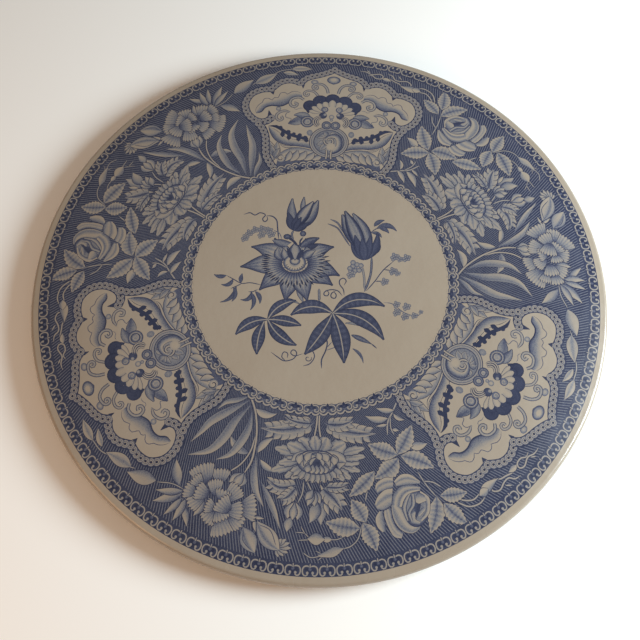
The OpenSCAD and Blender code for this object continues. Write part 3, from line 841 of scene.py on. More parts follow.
def bouquet():
    """The spray on the medallion: a passion flower, two buds, dark leaves and tendrils."""
    art = Art()
    ink = 0.72
    # tendrils, stems and faint sprays
    art.stroke([(-24.6, 26), (-25.4, 33), (-26, 38), (-28.6, 40.8), (-32, 41.2)], 0.8, ink)
    art.stroke([(-32, 41.2), (-31.5, 38.6), (-33.2, 37.2), (-34.4, 39.2), (-32.8, 41.8), (-36, 43.2),
                (-39, 41.6), (-42, 43.2), (-45.6, 42)], 0.7, 0.68, rows=30)
    art.stroke([(-22.8, 26), (-24.2, 29.6), (-27.6, 31.6)], 0.5, 0.5)
    for x, y in ((-44.4, 26.4), (-42, 29.6), (-38.6, 31.8), (-34.6, 32.4), (-34.8, 28.6), (-30.6, 31.4),
                 (-29, 29)):
        blossom(art, x, y, 2.3, 0.4)
    for path in (((-33.6, -3.4), (-40, -2), (-45, -2.4), (-50, 0.4), (-54, 2.6)),
                 ((-35.6, -6), (-38, -7.4), (-41, -7.6)), ((-45, -2.6), (-48, -4.2), (-51, -5.6))):
        art.stroke(path, 0.55, ink)
    for base, tip, bow in (
            ((-45.4, -2), (-44.8, 3.8), 0.4), ((-50, 0.4), (-56.6, -3), 2.0),
            ((-48, -4.2), (-56.6, -14), 2.6), ((-49.4, -5), (-50, -13.6), 1.4),
            ((-54, 2.6), (-61, 3.2), 1.0), ((-39, -7.6), (-45.2, -12.4), 2.4),
            ((-39.6, -8), (-39.4, -18.8), 2.0), ((-37, -7.4), (-34.2, -15), 1.2)):
        art.leaf(base, tip, 1.2, bow, (0.62, 0.5, 0.76), edge=0.12, rows=8)
    blossom(art, 19.6, 7.6, 4.6, 0.4)
    blossom(art, 17.4, 3.4, 2.6, 0.4)
    for path in (((26, -7), (31, -1), (36, 6), (42, 11.6)), ((31.4, -1), (35, -0.8)),
                 ((36.6, 6.4), (40, 6))):
        art.stroke(path, 0.6, ink)
    for x, y, r in ((36.6, -1.2, 2.3), (41.6, 5.4, 2.4), (44.2, 4, 1.6), (42.8, 14.4, 2.6), (46, 13, 1.8),
                    (49.6, 13.8, 2.4)):
        blossom(art, x, y, r)
    art.stroke([(36, -14), (41, -15), (47, -20), (54, -22.2), (57.6, -19.6)], 0.5, 0.5)
    for x, y, r in ((43, -15.2, 2.0), (43, -20, 2.3), (48.6, -16.6, 2.3), (47.6, -22.4, 2.3),
                    (52.8, -22, 1.9), (56.6, -19.8, 1.2)):
        blossom(art, x, y, r)
    each(art.leaf,
         (((31.4, 34.4), (37.6, 38.4), 1.3, 0.9), ((33, 33), (44.6, 31.2), 1.7, 2.8),
          ((34, 33.4), (40, 29.8), 1.3, 1.0), ((30, 30), (35.6, 27), 1.1, 1.2)), (0.6, 0.5, 0.74),
         edge=0.15, rows=8)
    art.stroke([(28.6, 29.4), (31.4, 32), (33.6, 33.2)], 0.6, ink)
    # curly tendrils among the leaves
    art.stroke([(12.4, -10), (10, -7), (6, -6.2), (2.6, -7.4), (2, -9.4), (4, -10), (4.8, -8), (3, -6.6)],
               0.65, 0.74, rows=24)
    art.stroke([(8.6, -7), (6.4, -8.4), (6, -10.6), (8, -11.6), (9, -9.6), (7.4, -7)], 0.65, 0.74, rows=18)
    art.stroke([(13.5, -9.6), (13, -6), (11, -3), (11, -0.2), (13.2, 1), (14.7, -0.8), (13.4, -3.4)],
               0.65, 0.74, rows=20)
    art.stroke([(-27, -43.6), (-23.4, -46.4), (-19.6, -48.7), (-14.8, -47.6), (-12.8, -44.4),
                (-14.6, -42.2), (-16.2, -44), (-14, -45.8), (-9.6, -44.6)], 0.6, ink, rows=30)
    art.stroke([(-19, -48.6), (-21, -46.4), (-20, -43.6), (-17.8, -44.4), (-18, -47)], 0.55, ink, rows=16)
    art.stroke([(-9.2, -51.6), (-5.4, -50.2), (-3, -46), (-5, -42), (-7.4, -43.4)], 0.6, ink, rows=14)
    art.swirl(-6.6, -47.2, 2.1, -1.0, 20, 0.5, (ink, ink), 0)
    each(art.stroke,
         (([(0.9, -53), (0.9, -48), (3, -43), (4, -38), (2.4, -34)], 0.75, ink),
          ([(3.8, -41), (6.6, -37.6)], 0.5, 0.5), ([(3.4, -42.6), (9, -40.6)], 0.5, 0.45)))
    art.leaf((18, -41.6), (23.8, -50), 0.8, 1.4, (0.45, 0.6), edge=0.1, rows=8)
    art.tube([(-0.8, -5.6), (-0.6, -13.4)], 0.9, (0.4, 0.25, 0.4), 0.3)
    each(art.leaf,
         (((-13.6, -6), (-9.6, -14.4), 1.1, 0.2, (0.5, 0.2, 0.5)),
          ((-20.6, -11.6), (-11.6, -15), 0.7, 0.4, (0.5, 0.2, 0.5)),
          ((17.4, -33.6), (28.4, -38.8), 1.3, 0.2, (0.7, 0.4, 0.7))), edge=0.2)
    art.stroke([(28, -38.4), (31.4, -41.4)], 0.7, 0.7)
    art.leaf((14, -26.6), (28.6, -31), 0.8, 1.6, (0.35, 0.2, 0.35), edge=0.2)
    # buds
    each(art.tube,
         (([(29.6, 15), (29, 5), (27, -2.4), (25, -7.4)], 0.9, (0.6, 0.35, 0.6), 0.25),
          ([(24, 8.6), (25, 1), (25, -6)], 0.9, (0.35, 0.15, 0.35), 0.2),
          ([(-15.8, 31.6), (-17, 29), (-16, 25)], 0.8, (0.55, 0.3, 0.55), 0.25)))
    art.leaf((-15.6, 33), (-17, 53), 2.7, 1.0, (0.6, 0.3, 0.2, 0.55), (0.2, 0))
    art.leaf((-10.8, 43), (-10, 54), 1.3, 0.3, (0.5, 0.2, 0.4))
    each(art.leaf,
         (((-14, 33), (-1.6, 51.8), 4.2, -1.2, (0.75, 0.4, 0.12, 0.35, 0.75), (0.2, 0)),
          ((-14.6, 34), (-4.4, 51), 3.4, 0.4, (0.8, 0.4, 0.08, 0.1, 0.08, 0.7, 0.85), (0.25, 0))),
         edge=0.4)
    for tip, half, bow in (
            ((-19.2, 43.4), 2.5, 0.4), ((-7, 37), 2.0, -0.6), ((-14.2, 41), 2.4, 0),
            ((-11.6, 40.4), 1.6, 0)):
        art.leaf((-15.8, 31.6), tip, half, bow, (0.85, 0.68, 0.68, 0.85), edge=0.3)
    art.leaf((30, 16), (32.2, 27), 2.2, -1.6, (0.85, 0.66, 0.85), edge=0.3)
    art.stroke([(17, 21.4), (11, 31.6), (8.6, 34), (4, 36)], 1.0, (0.85, 0.3, 0.85))
    art.stroke([(19, 22), (12.6, 32), (9.8, 36.6), (5.6, 39)], 1.2, (0.85, 0.25, 0.85))
    each(art.leaf,
         (((25, 15), (12.6, 42.2), 3.6, 0.6, (0.8, 0.34, 0.2, 0.4, 0.75), (0.2, 0), 0.58),
          ((27.4, 14), (18.8, 43), 4.0, -2.4, (0.5, 0.2, 0.45, 0.16, 0.4, 0.8), (0.2, 0), 0.5),
          ((25.4, 15), (14.2, 44.6), 4.0, -0.4, (0.85, 0.5, 0.08, 0.04, 0.16, 0.05, 0.5, 0.85),
           (0.3, 0.3), 0.5)), edge=0.4)
    art.disc(25.9, 17, 4.5, (0.66, 0.7, 0.88), 18, 1.0)
    art.leaf((28.4, 14), (33.2, 30.4), 2.2, -1.6, (0.86, 0.6, 0.7, 0.86), edge=0.3)
    for tip, half, bow in (
            ((17.6, 23.4), 2.0, 0.9), ((28.8, 28), 2.4, -0.8), ((20, 28.6), 2.5, 0.6),
            ((24.2, 26.4), 2.6, 0)):
        art.leaf((25.4, 12.6), tip, half, bow, (0.86, 0.64, 0.7, 0.62, 0.86), edge=0.3)
    passion_flower(art)
    for tip, half, bow in (
            ((-47, -33.4), 3.3, -2.6), ((-13.6, -13), 3.0, 2.8), ((-10.6, -28), 3.0, 1.0),
            ((-13, -39.6), 3.4, -2.4)):
        dark_leaf(art, (-29.4, -24.4), tip, half, bow)
    dark_leaf(art, (-31.4, -25.6), (-34.8, -45), 3.4, -1.2)
    for tip, half, bow in (
            ((-16.6, -21.8), 4.0, -4.6), ((-8.6, -45), 4.6, 1.2), ((13.2, -50), 5.0, 1.4),
            ((35.4, -36.4), 4.4, 5.2), ((36.4, -16.4), 4.2, 6.2)):
        dark_leaf(art, (7, -20.6), tip, half, bow)
    return art


# ------------------------------------------------------------------ the whole print
OUTER, INNER, FLOWERS, HATCHED, CARTOUCHE, CENTRE = range(6)
GROUND_TONE = 0.74


def polar_ground(art, inner_r, outer_r, from_deg, to_deg, tone, rings, columns):
    """A ring-shaped ground; angles run anticlockwise from +Y."""
    a = np.radians(np.linspace(90 + from_deg, 90 + to_deg, columns + 1))
    r = np.linspace(inner_r, outer_r, rings + 1)[:, None]
    art.grid(np.stack([r * np.cos(a), r * np.sin(a)], -1), np.full((1, 1), tone))


def outer_border_art():
    art = Art()
    art.zone = OUTER
    polar_ground(art, OUTER_BORDER_R, DRAWN_R, 0, 360, 0.8, 2, 228)
    art.paste(ring_of(outer_border_unit(), OUTER_UNITS * SECTORS, 360))
    return art


def inner_border_art():
    art = Art()
    art.zone = INNER
    cream_rim = 1.1
    polar_ground(art, MEDALLION_R, INNER_BORDER_R, 0, 360, 0.5, 2, 216)
    polar_ground(art, MEDALLION_R, MEDALLION_R + cream_rim, 0, 360, 0.0, 1, 216)
    art.paste(ring_of(inner_border_unit(), INNER_UNITS * SECTORS, 360))
    return art


def trim_to_panel(art, half_deg):
    """Covers what runs over the two scroll borders, so that only the panel between them is left."""
    art.zone = INNER
    polar_ground(art, MEDALLION_R - 6, INNER_BORDER_R, -half_deg, half_deg, 0.5, 1, 72)
    art.zone = OUTER
    polar_ground(art, OUTER_BORDER_R, DRAWN_R, -half_deg, half_deg, 0.5, 1, 76)


def cartouche_art():
    """One cartouche, centred on +Y."""
    art = Art()
    art.zone = CARTOUCHE
    for layer in (half_cartouche_ground(), half_motif()):
        art.paste(layer)
        art.paste(layer, mirror=True)
    art.paste(foot_ball())
    art.paste(fan_petals())
    for mirror in (False, True):
        art.paste(half_braid(), mirror=mirror)
    trim_to_panel(art, SECTOR_DEG / 2)
    return art


def floral_art():
    """One flower panel, centred on +Y, between the cartouches on its left and right."""
    half = SECTOR_DEG / 2
    art = Art()
    art.zone = HATCHED
    polar_ground(art, INNER_BORDER_R, OUTER_BORDER_R, -half, half, GROUND_TONE, 10, 60)
    art.zone = FLOWERS
    spray_left, spray_right = top_sprays()
    art.paste(spray_left, -half)
    art.paste(spray_right, half)
    for branch in (carnation_branch(), peony_branch(), rose_branch()):
        art.paste(branch)
    art.zone = CARTOUCHE
    for turn, mirror in ((half, True), (-half, False)):
        art.paste(half_cartouche_ground(), turn, mirror)
        art.paste(half_braid(), turn, mirror)
    trim_to_panel(art, half + 12)
    return art


def centre_art():
    art = Art()
    art.zone = CENTRE
    polar_ground(art, 0, MEDALLION_R, 0, 360, 0.0, 8, 96)
    art.paste(bouquet())
    return art


# ------------------------------------------------------------------ from drawing to mesh
# Drawn points closer than this many millimetres become one.
SNAP = 0.003
# A cell whose corners turn less than this, and a triangle of less area, is a fold.
LEAST_TURN = 1e-5
LEAST_AREA = 1e-4
# Cells of one tone merge only within blocks of about this size, which keeps the merging quick.
BLOCK_MM = 6
BLOCK_DEG = 3
# Spacing of the points under a coat, and their distance from its rim.
UNDER_MM = 6
UNDER_DEG = 4
UNDER_MARGIN = 2.5


def cross(a, b):
    return a[..., 0] * b[..., 1] - a[..., 1] * b[..., 0]


def clean_loops(points, cells):
    """The cells as anticlockwise loops, and the cell of each loop; a folded cell becomes two triangles."""
    p = points[cells]
    sides = np.roll(p, -1, axis=1) - p
    turns = cross(sides, np.roll(sides, -1, axis=1))
    left, right = (turns > LEAST_TURN).all(1), (turns < -LEAST_TURN).all(1)
    loops, source = [], []
    for i, loop in enumerate(cells.tolist()):
        if left[i] or right[i]:
            loops.append(loop if left[i] else loop[::-1])
            source.append(i)
            continue
        for corners in ((0, 1, 2), (0, 2, 3)):
            a, b, c = (loop[k] for k in corners)
            area = cross(points[b] - points[a], points[c] - points[a])
            if abs(area) > LEAST_AREA:
                loops.append([a, b, c] if area > 0 else [c, b, a])
                source.append(i)
    return loops, np.array(source)


class ToneField:
    """For each cell, the plane that best fits its four corner tones."""

    def __init__(self, points, tones, cells):
        p, t = points[cells], tones[cells]
        self.middle, self.level = p.mean(1), t.mean(1)
        self.low, self.high = t.min(1), t.max(1)
        q, v = p - self.middle[:, None], t - self.level[:, None]
        xx, xy, yy = (q[..., 0] ** 2).sum(1), (q[..., 0] * q[..., 1]).sum(1), (q[..., 1] ** 2).sum(1)
        xv, yv = (q[..., 0] * v).sum(1), (q[..., 1] * v).sum(1)
        det = np.maximum(xx * yy - xy ** 2, 1e-6)
        self.slope = np.stack([yy * xv - xy * yv, xx * yv - xy * xv], -1) / det[:, None]

    def at(self, cell, corners):
        """Tones at the corners (n, 3, 2) of triangles that lie in the given cells."""
        offset = corners - self.middle[cell][:, None]
        value = self.level[cell][:, None] + (offset * self.slope[cell][:, None]).sum(-1)
        return np.clip(value, self.low[cell][:, None], self.high[cell][:, None])


def merge_same(verts, faces, key):
    """Triangles again, without the edges between neighbours that share a key, and without unused points."""
    used, faces = np.unique(faces, return_inverse=True)
    verts, faces = verts[used], faces.reshape(-1, 3)
    mesh = bpy.data.meshes.new("scratch")
    mesh.from_pydata(np.column_stack([verts, np.zeros(len(verts))]).tolist(), [], faces.tolist())
    mesh.polygons.foreach_set("material_index", key.astype(np.int32))
    bm = bmesh.new()
    bm.from_mesh(mesh)
    bmesh.ops.dissolve_limit(bm, angle_limit=0.01, use_dissolve_boundaries=False, verts=bm.verts[:],
                             edges=bm.edges[:], delimit={"MATERIAL"})
    bmesh.ops.triangulate(bm, faces=bm.faces[:])
    bmesh.ops.dissolve_degenerate(bm, edges=bm.edges[:], dist=SNAP / 3)
    bmesh.ops.triangulate(bm, faces=bm.faces[:])
    bm.verts.index_update()
    verts = np.array([v.co[:2] for v in bm.verts])
    faces = np.array([[v.index for v in f.verts] for f in bm.faces])
    key = np.array([f.material_index for f in bm.faces])
    bm.free()
    bpy.data.meshes.remove(mesh)
    # two triangles on the same three corners are a fold, and both go
    _, which, times = np.unique(np.sort(faces, axis=1), axis=0, return_inverse=True, return_counts=True)
    single = times[which.reshape(-1)] == 1
    return verts, faces[single], key[single]


def main_region(faces):
    """The largest connected region of the triangles."""
    at_edge = {}
    for i, face in enumerate(faces.tolist()):
        for a, b in zip(face, face[1:] + face[:1]):
            at_edge.setdefault((min(a, b), max(a, b)), []).append(i)
    beside = [[] for face in faces]
    for pair in at_edge.values():
        for i in pair:
            beside[i] += pair
    left, best = set(range(len(faces))), []
    while left:
        region = todo = [left.pop()]
        for i in todo:
            fresh = left.intersection(beside[i])
            left -= fresh
            region += sorted(fresh)
        best = max(best, region, key=len)
    return np.array(sorted(best))


def last_over(points, loops, middle, found):
    """The last drawn loop that each triangle's middle lies in, or -1; found lists the likely loops."""
    corners = points[[loop if len(loop) == 4 else loop + loop[-1:] for loop in loops]]

    def covers(loop, spot):
        a, b = corners[loop], np.roll(corners[loop], -1, axis=1)
        return (cross(b - a, spot[:, None] - a) > -LEAST_AREA).all(1)

    pairs = np.array([(face, loop) for face, ids in enumerate(found) for loop in ids])
    pairs = pairs[covers(pairs[:, 1], middle[pairs[:, 0]])]
    top = np.full(len(middle), -1)
    np.maximum.at(top, pairs[:, 0], pairs[:, 1])
    everything = np.arange(len(loops))
    for face in np.flatnonzero(top < 0):
        over = everything[covers(everything, np.tile(middle[face], (len(loops), 1)))]
        top[face] = over.max() if len(over) else -1
    return top


def flatten(art, zones, half_deg=180.0):
    """The seen part of the cells in the given zones as one layer of triangles, with tones and zones."""
    points, cells = np.vstack(art.points), np.vstack(art.cells)
    tones, zone = np.concatenate(art.tones), np.concatenate(art.zones)
    loops, source = clean_loops(points, cells)
    result = delaunay_2d_cdt([Vector(p) for p in points], [], loops, 1, SNAP, True)
    verts, faces = np.array([tuple(v) for v in result[0]]), np.array(result[2])
    middle = verts[faces].mean(1)
    top = last_over(points, loops, middle, result[5])
    faces, middle, cell = faces[top >= 0], middle[top >= 0], source[top[top >= 0]]
    turn = np.abs(np.degrees(np.arctan2(middle[:, 0], middle[:, 1])))
    keep = np.flatnonzero(np.isin(zone[cell], zones) & (turn <= half_deg))
    keep = keep[main_region(faces[keep])]
    faces, cell, middle, turn = faces[keep], cell[keep], middle[keep], turn[keep]
    # neighbouring cells of one flat tone merge, within blocks; the rest stay what they are
    field = ToneField(points, tones, cells)
    flat_tone = (field.high - field.low < 1e-4) & (zone != HATCHED)
    ring, wedge = (np.hypot(*middle.T) // BLOCK_MM).astype(int), (turn // BLOCK_DEG).astype(int)
    block = ring * 200 + wedge * 2 + (middle[:, 0] > 0)
    shared = np.round(field.level[cell] * 100).astype(int) * 10 + zone[cell] + 10000 * block
    first, key = np.unique(np.where(flat_tone[cell], shared, -1 - cell), return_inverse=True)
    stands_for = np.zeros(len(first), int)
    stands_for[key] = cell
    verts, faces, key = merge_same(verts, faces, key)
    cell = stands_for[key]
    return verts, faces, field.at(cell, verts[faces]), zone[cell] == HATCHED


def face_lift(points):
    """Drawn points, scaled to the platter and laid on its face, in metres, with the face's normals."""
    xy = points * DRAWN_SCALE
    r = np.hypot(xy[:, 0], xy[:, 1])
    fall = FACE_FALL * FALL_POWER * r ** (FALL_POWER - 2) / PRINT_R ** FALL_POWER
    normal = np.column_stack([xy * fall[:, None], np.ones(len(xy))])
    return MM * np.column_stack([xy, face_z(r)]), normal / np.linalg.norm(normal, axis=1)[:, None]


def rim_loops(faces):
    """The closed rims of a layer of triangles, each in the direction that keeps the layer on its left."""
    edges = {(a, b) for face in faces.tolist() for a, b in zip(face, face[1:] + face[:1])}
    follows = {}
    for a, b in edges:
        if (b, a) not in edges:
            follows.setdefault(a, []).append(b)
    loops = []
    while follows:
        start = next(iter(follows))
        loop, at = [start], follows[start].pop()
        while at != start:
            loop.append(at)
            at = follows[at].pop()
        loops.append(loop)
        follows = {a: b for a, b in follows.items() if b}
    return loops


def underside(points, loops):
    """Rim points, inner points, and coarse triangles that number them in that order."""
    rim = np.array([p for loop in loops for p in loop])
    others = np.delete(points, rim, axis=0)
    place = np.column_stack(
        [np.hypot(*others.T) // UNDER_MM, np.degrees(np.arctan2(*others.T)) // UNDER_DEG])
    inner = others[np.unique(place, axis=0, return_index=True)[1]]
    inner = inner[[np.hypot(*(points[rim] - p).T).min() > UNDER_MARGIN for p in inner]]
    everything = np.vstack([points[rim], inner])
    numbered, start = [], 0
    for loop in loops:
        ids = list(range(start, start + len(loop)))
        start += len(loop)
        x, y = everything[ids].T
        area = (x * np.roll(y, -1) - y * np.roll(x, -1)).sum()
        numbered.append((ids if area > 0 else ids[::-1], area > 0))
    result = delaunay_2d_cdt(
        [Vector(p) for p in everything], [], [ids for ids, solid in numbered], 1, 1e-7, True)
    back = [min(ids) if ids else None for ids in result[3]]
    faces = [[back[v] for v in face] for face, ids in zip(result[2], result[5])
             if ids and all(numbered[i][1] for i in ids)]
    return rim, inner, faces


def add_object(name, data):
    made = bpy.data.objects.new(name, data)
    bpy.context.scene.collection.objects.link(made)
    return made


def coat_piece(name, layer, turn_deg=0.0):
    """A closed coat of ware: the printed layer on top, straight rims, and a plain underside."""
    points, faces, tones, hatched = layer
    points = rotated(points, turn_deg)
    loops = rim_loops(faces)
    rim, inner, low_faces = underside(points, loops)
    top, top_normal = face_lift(points)
    low, low_normal = face_lift(np.vstack([points[rim], inner]))
    low[:, 2] -= COAT_T * MM
    base = len(points)
    walls, wall_normals, start = [], [], 0
    for loop in loops:
        ids = base + start + np.arange(len(loop))
        start += len(loop)
        for k in range(len(loop)):
            a, b = loop[k], loop[(k + 1) % len(loop)]
            walls.append([a, int(ids[k]), int(ids[(k + 1) % len(loop)]), b])
            out = points[b] - points[a]
            wall_normals.append((out[1], -out[0], 0))
    under = [[base + v for v in face[::-1]] for face in low_faces]
    mesh = bpy.data.meshes.new(name)
    mesh.from_pydata(np.vstack([top, low]).tolist(), [], faces.tolist() + walls + under)
    corner_normals = np.vstack([
        top_normal[faces.reshape(-1)],
        np.repeat(np.array(wall_normals), 4, axis=0),
        -low_normal[np.array(under).reshape(-1) - base],
    ])
    corner_normals /= np.linalg.norm(corner_normals, axis=1)[:, None]
    mesh.normals_split_custom_set(corner_normals.tolist())
    spare = 4 * len(walls) + 3 * len(under)
    for label, values in (("tone", tones.reshape(-1)), ("hatch", np.repeat(hatched, 3).astype(float))):
        attribute = mesh.attributes.new(label, "FLOAT", "CORNER")
        attribute.data.foreach_set("value", np.r_[values, np.zeros(spare)].astype(np.float32))
    return add_object(name, mesh)


# ------------------------------------------------------------------ turned parts
# Points closer than this many metres become one.
WELD = 1e-7
TREAD_R = 0.8
SKIN_STEP = 3


def arc(x, z, radius, from_deg, to_deg, count):
    """Points of a circular arc in a section, both ends included."""
    angles = np.radians(np.linspace(from_deg, to_deg, count))
    return [(x + radius * math.cos(a), z + radius * math.sin(a)) for a in angles]


def turned(name, section, steps=288, sharp_deg=40):
    """A closed solid of revolution from a closed section of (radius, height) in millimetres."""
    angles = np.linspace(0, 2 * math.pi, steps, endpoint=False)
    verts, faces, count = [], [], len(section)
    for a in angles:
        verts += [(MM * r * math.cos(a), MM * r * math.sin(a), MM * z) for r, z in section]
    for i in range(steps):
        here, there = i * count, (i + 1) % steps * count
        for k in range(count):
            following = (k + 1) % count
            faces.append((here + k, there + k, there + following, here + following))
    mesh = bpy.data.meshes.new(name)
    mesh.from_pydata(verts, [], faces)
    tidy = bmesh.new()
    tidy.from_mesh(mesh)
    bmesh.ops.remove_doubles(tidy, verts=tidy.verts, dist=WELD)
    bmesh.ops.dissolve_degenerate(tidy, edges=tidy.edges, dist=WELD)
    bmesh.ops.delete(tidy, geom=[edge for edge in tidy.edges if edge.is_wire], context="EDGES")
    bmesh.ops.recalc_face_normals(tidy, faces=tidy.faces)
    tidy.to_mesh(mesh)
    tidy.free()
    mesh.shade_smooth()
    mesh.set_sharp_from_angle(angle=math.radians(sharp_deg))
    return add_object(name, mesh)


def back_z(r):
    """Height of the finished underside at radius r."""
    return face_z(r) - BODY_THICKNESS


BACK_R = PLATTER_R - 2 * LIP_ROLL_R


def lip_section():
    """The cream lip: a narrow slope outside the print, then the rolled edge, down to the underside."""
    roll_r = PLATTER_R - LIP_ROLL_R
    roll_z = face_z(roll_r) - LIP_ROLL_R
    outside = [(PRINT_R, face_z(PRINT_R))]
    outside += arc(roll_r, roll_z, LIP_ROLL_R, 88, -92, 22)
    outside += [(BACK_R, back_z(BACK_R)), (BACK_R, face_z(BACK_R) - COAT_T),
                (PRINT_R, face_z(PRINT_R) - COAT_T)]
    return outside


def foot_section():
    """The foot ring: tapered sides, and a flat tread with rounded edges."""
    root = FOOT_ROOT_W / 2
    flat = FOOT_FLAT_W / 2
    top_in, top_out = back_z(FOOT_R - root) + COAT_T, back_z(FOOT_R + root) + COAT_T
    right = arc(FOOT_R + flat, TREAD_R, TREAD_R, -90, -12, 7)
    left = arc(FOOT_R - flat, TREAD_R, TREAD_R, 192, 270, 7)
    return left + right + [(FOOT_R + root, top_out), (FOOT_R - root, top_in)]


def skin_section(inner_r, outer_r):
    """A glaze coat under the body."""
    radii = np.linspace(inner_r, outer_r, max(3, int((outer_r - inner_r) / SKIN_STEP)))
    low = [(r, back_z(r)) for r in radii]
    return low + [(r, z + COAT_T) for r, z in reversed(low)]


# ------------------------------------------------------------------ materials
CREAM = (0.34, 0.289, 0.235)
CREAM_DEEP = (0.30, 0.243, 0.188)
IRON = (0.25, 0.16, 0.08)
BISCUIT = (0.72, 0.66, 0.54)
BISCUIT_DEEP = (0.64, 0.57, 0.45)
GRIME = (0.36, 0.28, 0.19)
# What each printed tone multiplies the cream by.
INK_STOPS = ((0.0, (1, 1, 1)), (0.3, (0.50, 0.61, 0.87)), (0.6, (0.17, 0.24, 0.53)),
             (1.0, (0.035, 0.065, 0.22)))
HATCH_LINES = 600
HATCH_LEAN = math.tan(math.radians(24))


class Shader:
    """Short hand for building one material's nodes."""

    def __init__(self, name):
        self.material = bpy.data.materials.new(name)
        self.material.use_nodes = True
        self.nodes = self.material.node_tree.nodes
        self.links = self.material.node_tree.links
        self.surface = self.nodes["Principled BSDF"]

    def node(self, kind, inputs=(), **settings):
        made = self.nodes.new(kind)
        for label, value in settings.items():
            setattr(made, label, value)
        for label, value in dict(inputs).items():
            self.plug(value, made.inputs[label])
        return made

    def plug(self, value, socket):
        if isinstance(value, bpy.types.NodeSocket):
            self.links.new(value, socket)
        else:
            socket.default_value = value

    def math(self, operation, a, b=0.0, clamp=False):
        return self.node("ShaderNodeMath", {0: a, 1: b}, operation=operation, use_clamp=clamp).outputs[0]

    def attribute(self, label):
        return self.node("ShaderNodeAttribute", attribute_name=label).outputs["Fac"]

    def place(self):
        """The piece's own coordinates, which are the platter's."""
        return self.node("ShaderNodeTexCoord").outputs["Object"]

    def noise(self, scale, detail=3.0, rough=0.5):
        """Smooth noise from 0 to 1 in the platter's space; scale is in cycles per metre."""
        return self.node("ShaderNodeTexNoise", {"Vector": self.place(), "Scale": scale, "Detail": detail,
                                                "Roughness": rough}).outputs["Fac"]

    def spots(self, scale):
        """Distance to the nearest of scattered points, about scale of them to the metre."""
        return self.node("ShaderNodeTexVoronoi", {"Vector": self.place(), "Scale": scale},
                         feature="F1").outputs["Distance"]

    def remap(self, value, low, high, to_low=0.0, to_high=1.0):
        return self.node("ShaderNodeMapRange", {"Value": value, "From Min": low, "From Max": high,
                                                "To Min": to_low, "To Max": to_high}).outputs["Result"]

    def mix(self, share, a, b, blend="MIX"):
        made = self.node("ShaderNodeMix", data_type="RGBA", blend_type=blend)
        self.plug(share, made.inputs["Factor"])
        for value, socket in ((a, made.inputs[6]), (b, made.inputs[7])):
            self.plug((*value, 1) if isinstance(value, tuple) else value, socket)
        return made.outputs[2]

    def paint(self, colour):
        self.plug(colour, self.surface.inputs["Base Color"])

    def bump(self, height, strength, distance):
        normal = self.node("ShaderNodeBump", {"Strength": strength, "Distance": distance, "Height": height})
        self.plug(normal.outputs["Normal"], self.surface.inputs["Normal"])


def cream_colour(shader):
    """Aged cream ware: broad warm clouds and faint specks."""
    cloud = shader.remap(shader.noise(16, 3, 0.55), 0.35, 0.65)
    fine = shader.remap(shader.noise(420, 2, 0.6), 0.3, 0.7)
    colour = shader.mix(shader.math("MULTIPLY", cloud, 0.5), CREAM, CREAM_DEEP)
    colour = shader.mix(shader.math("MULTIPLY", fine, 0.10), colour, CREAM_DEEP)
    speck = shader.remap(shader.spots(95.0), 0.035, 0.02)
    return shader.mix(shader.math("MULTIPLY", speck, 0.35), colour, IRON)


def glaze_surface(shader):
    """A clear lead glaze: glossy, with a slow orange-peel ripple."""
    surface = shader.surface
    surface.inputs["IOR"].default_value = 1.5
    surface.inputs["Coat Weight"].default_value = 0.2
    surface.inputs["Coat Roughness"].default_value = 0.08
    shader.plug(shader.remap(shader.noise(60, 2), 0.3, 0.7, 0.2, 0.3), surface.inputs["Roughness"])
    ripple = shader.math("ADD", shader.noise(150, 2), shader.math("MULTIPLY", shader.noise(28, 1), 2.2))
    shader.bump(ripple, 0.25, 0.0006)


def engraved_tone(shader):
    """The printed tone: hatched grounds, stippled shading and slightly uneven ink."""
    tone = shader.attribute("tone")
    spot = shader.node("ShaderNodeSeparateXYZ", {"Vector": shader.place()}).outputs
    x, y = spot["X"], spot["Y"]
    square = shader.math("ADD", shader.math("MULTIPLY", x, x), shader.math("MULTIPLY", y, y))
    radius = shader.math("SQRT", square)
    log_r = shader.math("LOGARITHM", shader.math("MAXIMUM", radius, 0.001), math.e)
    angle = shader.math("ARCTAN2", y, x)
    spiral = shader.math("SUBTRACT", angle, shader.math("MULTIPLY", log_r, HATCH_LEAN))
    wobble = shader.math("MULTIPLY", shader.noise(700, 1), 0.9)
    phase = shader.math("ADD", shader.math("MULTIPLY", spiral, float(HATCH_LINES)), wobble)
    wave = shader.math("SINE", phase)
    hatch = shader.remap(wave, -1.0, -0.1, -0.42, 0.12)
    lined = shader.math("ADD", tone, shader.math("MULTIPLY", hatch, shader.attribute("hatch")))
    grain = shader.remap(shader.spots(2600.0), 0.1, 0.75, -0.5, 0.5)
    middle = shader.math("MULTIPLY", tone, shader.math("SUBTRACT", 1.0, tone))
    stipple = shader.math("MULTIPLY", grain, shader.math("MULTIPLY", middle, 1.3))
    stippled = shader.math("ADD", lined, stipple)
    uneven = shader.remap(shader.noise(55, 3, 0.6), 0.3, 0.7, 0.92, 1.06)
    return shader.math("MULTIPLY", stippled, uneven, clamp=True)


def printed_glaze(name):
    """Cobalt print under clear glaze on the cream ware."""
    shader = Shader(name)
    tone = engraved_tone(shader)
    ramp = shader.node("ShaderNodeValToRGB", {"Fac": tone})
    for k, (at, colour) in enumerate(INK_STOPS):
        stop = ramp.color_ramp.elements[k] if k < 2 else ramp.color_ramp.elements.new(at)
        stop.position = at
        stop.color = (*colour, 1)
    shader.paint(shader.mix(1.0, cream_colour(shader), ramp.outputs["Color"], "MULTIPLY"))
    glaze_surface(shader)
    return shader.material


def cream_glaze(name):
    """Plain cream ware under clear glaze."""
    shader = Shader(name)
    shader.paint(cream_colour(shader))
    glaze_surface(shader)
    return shader.material


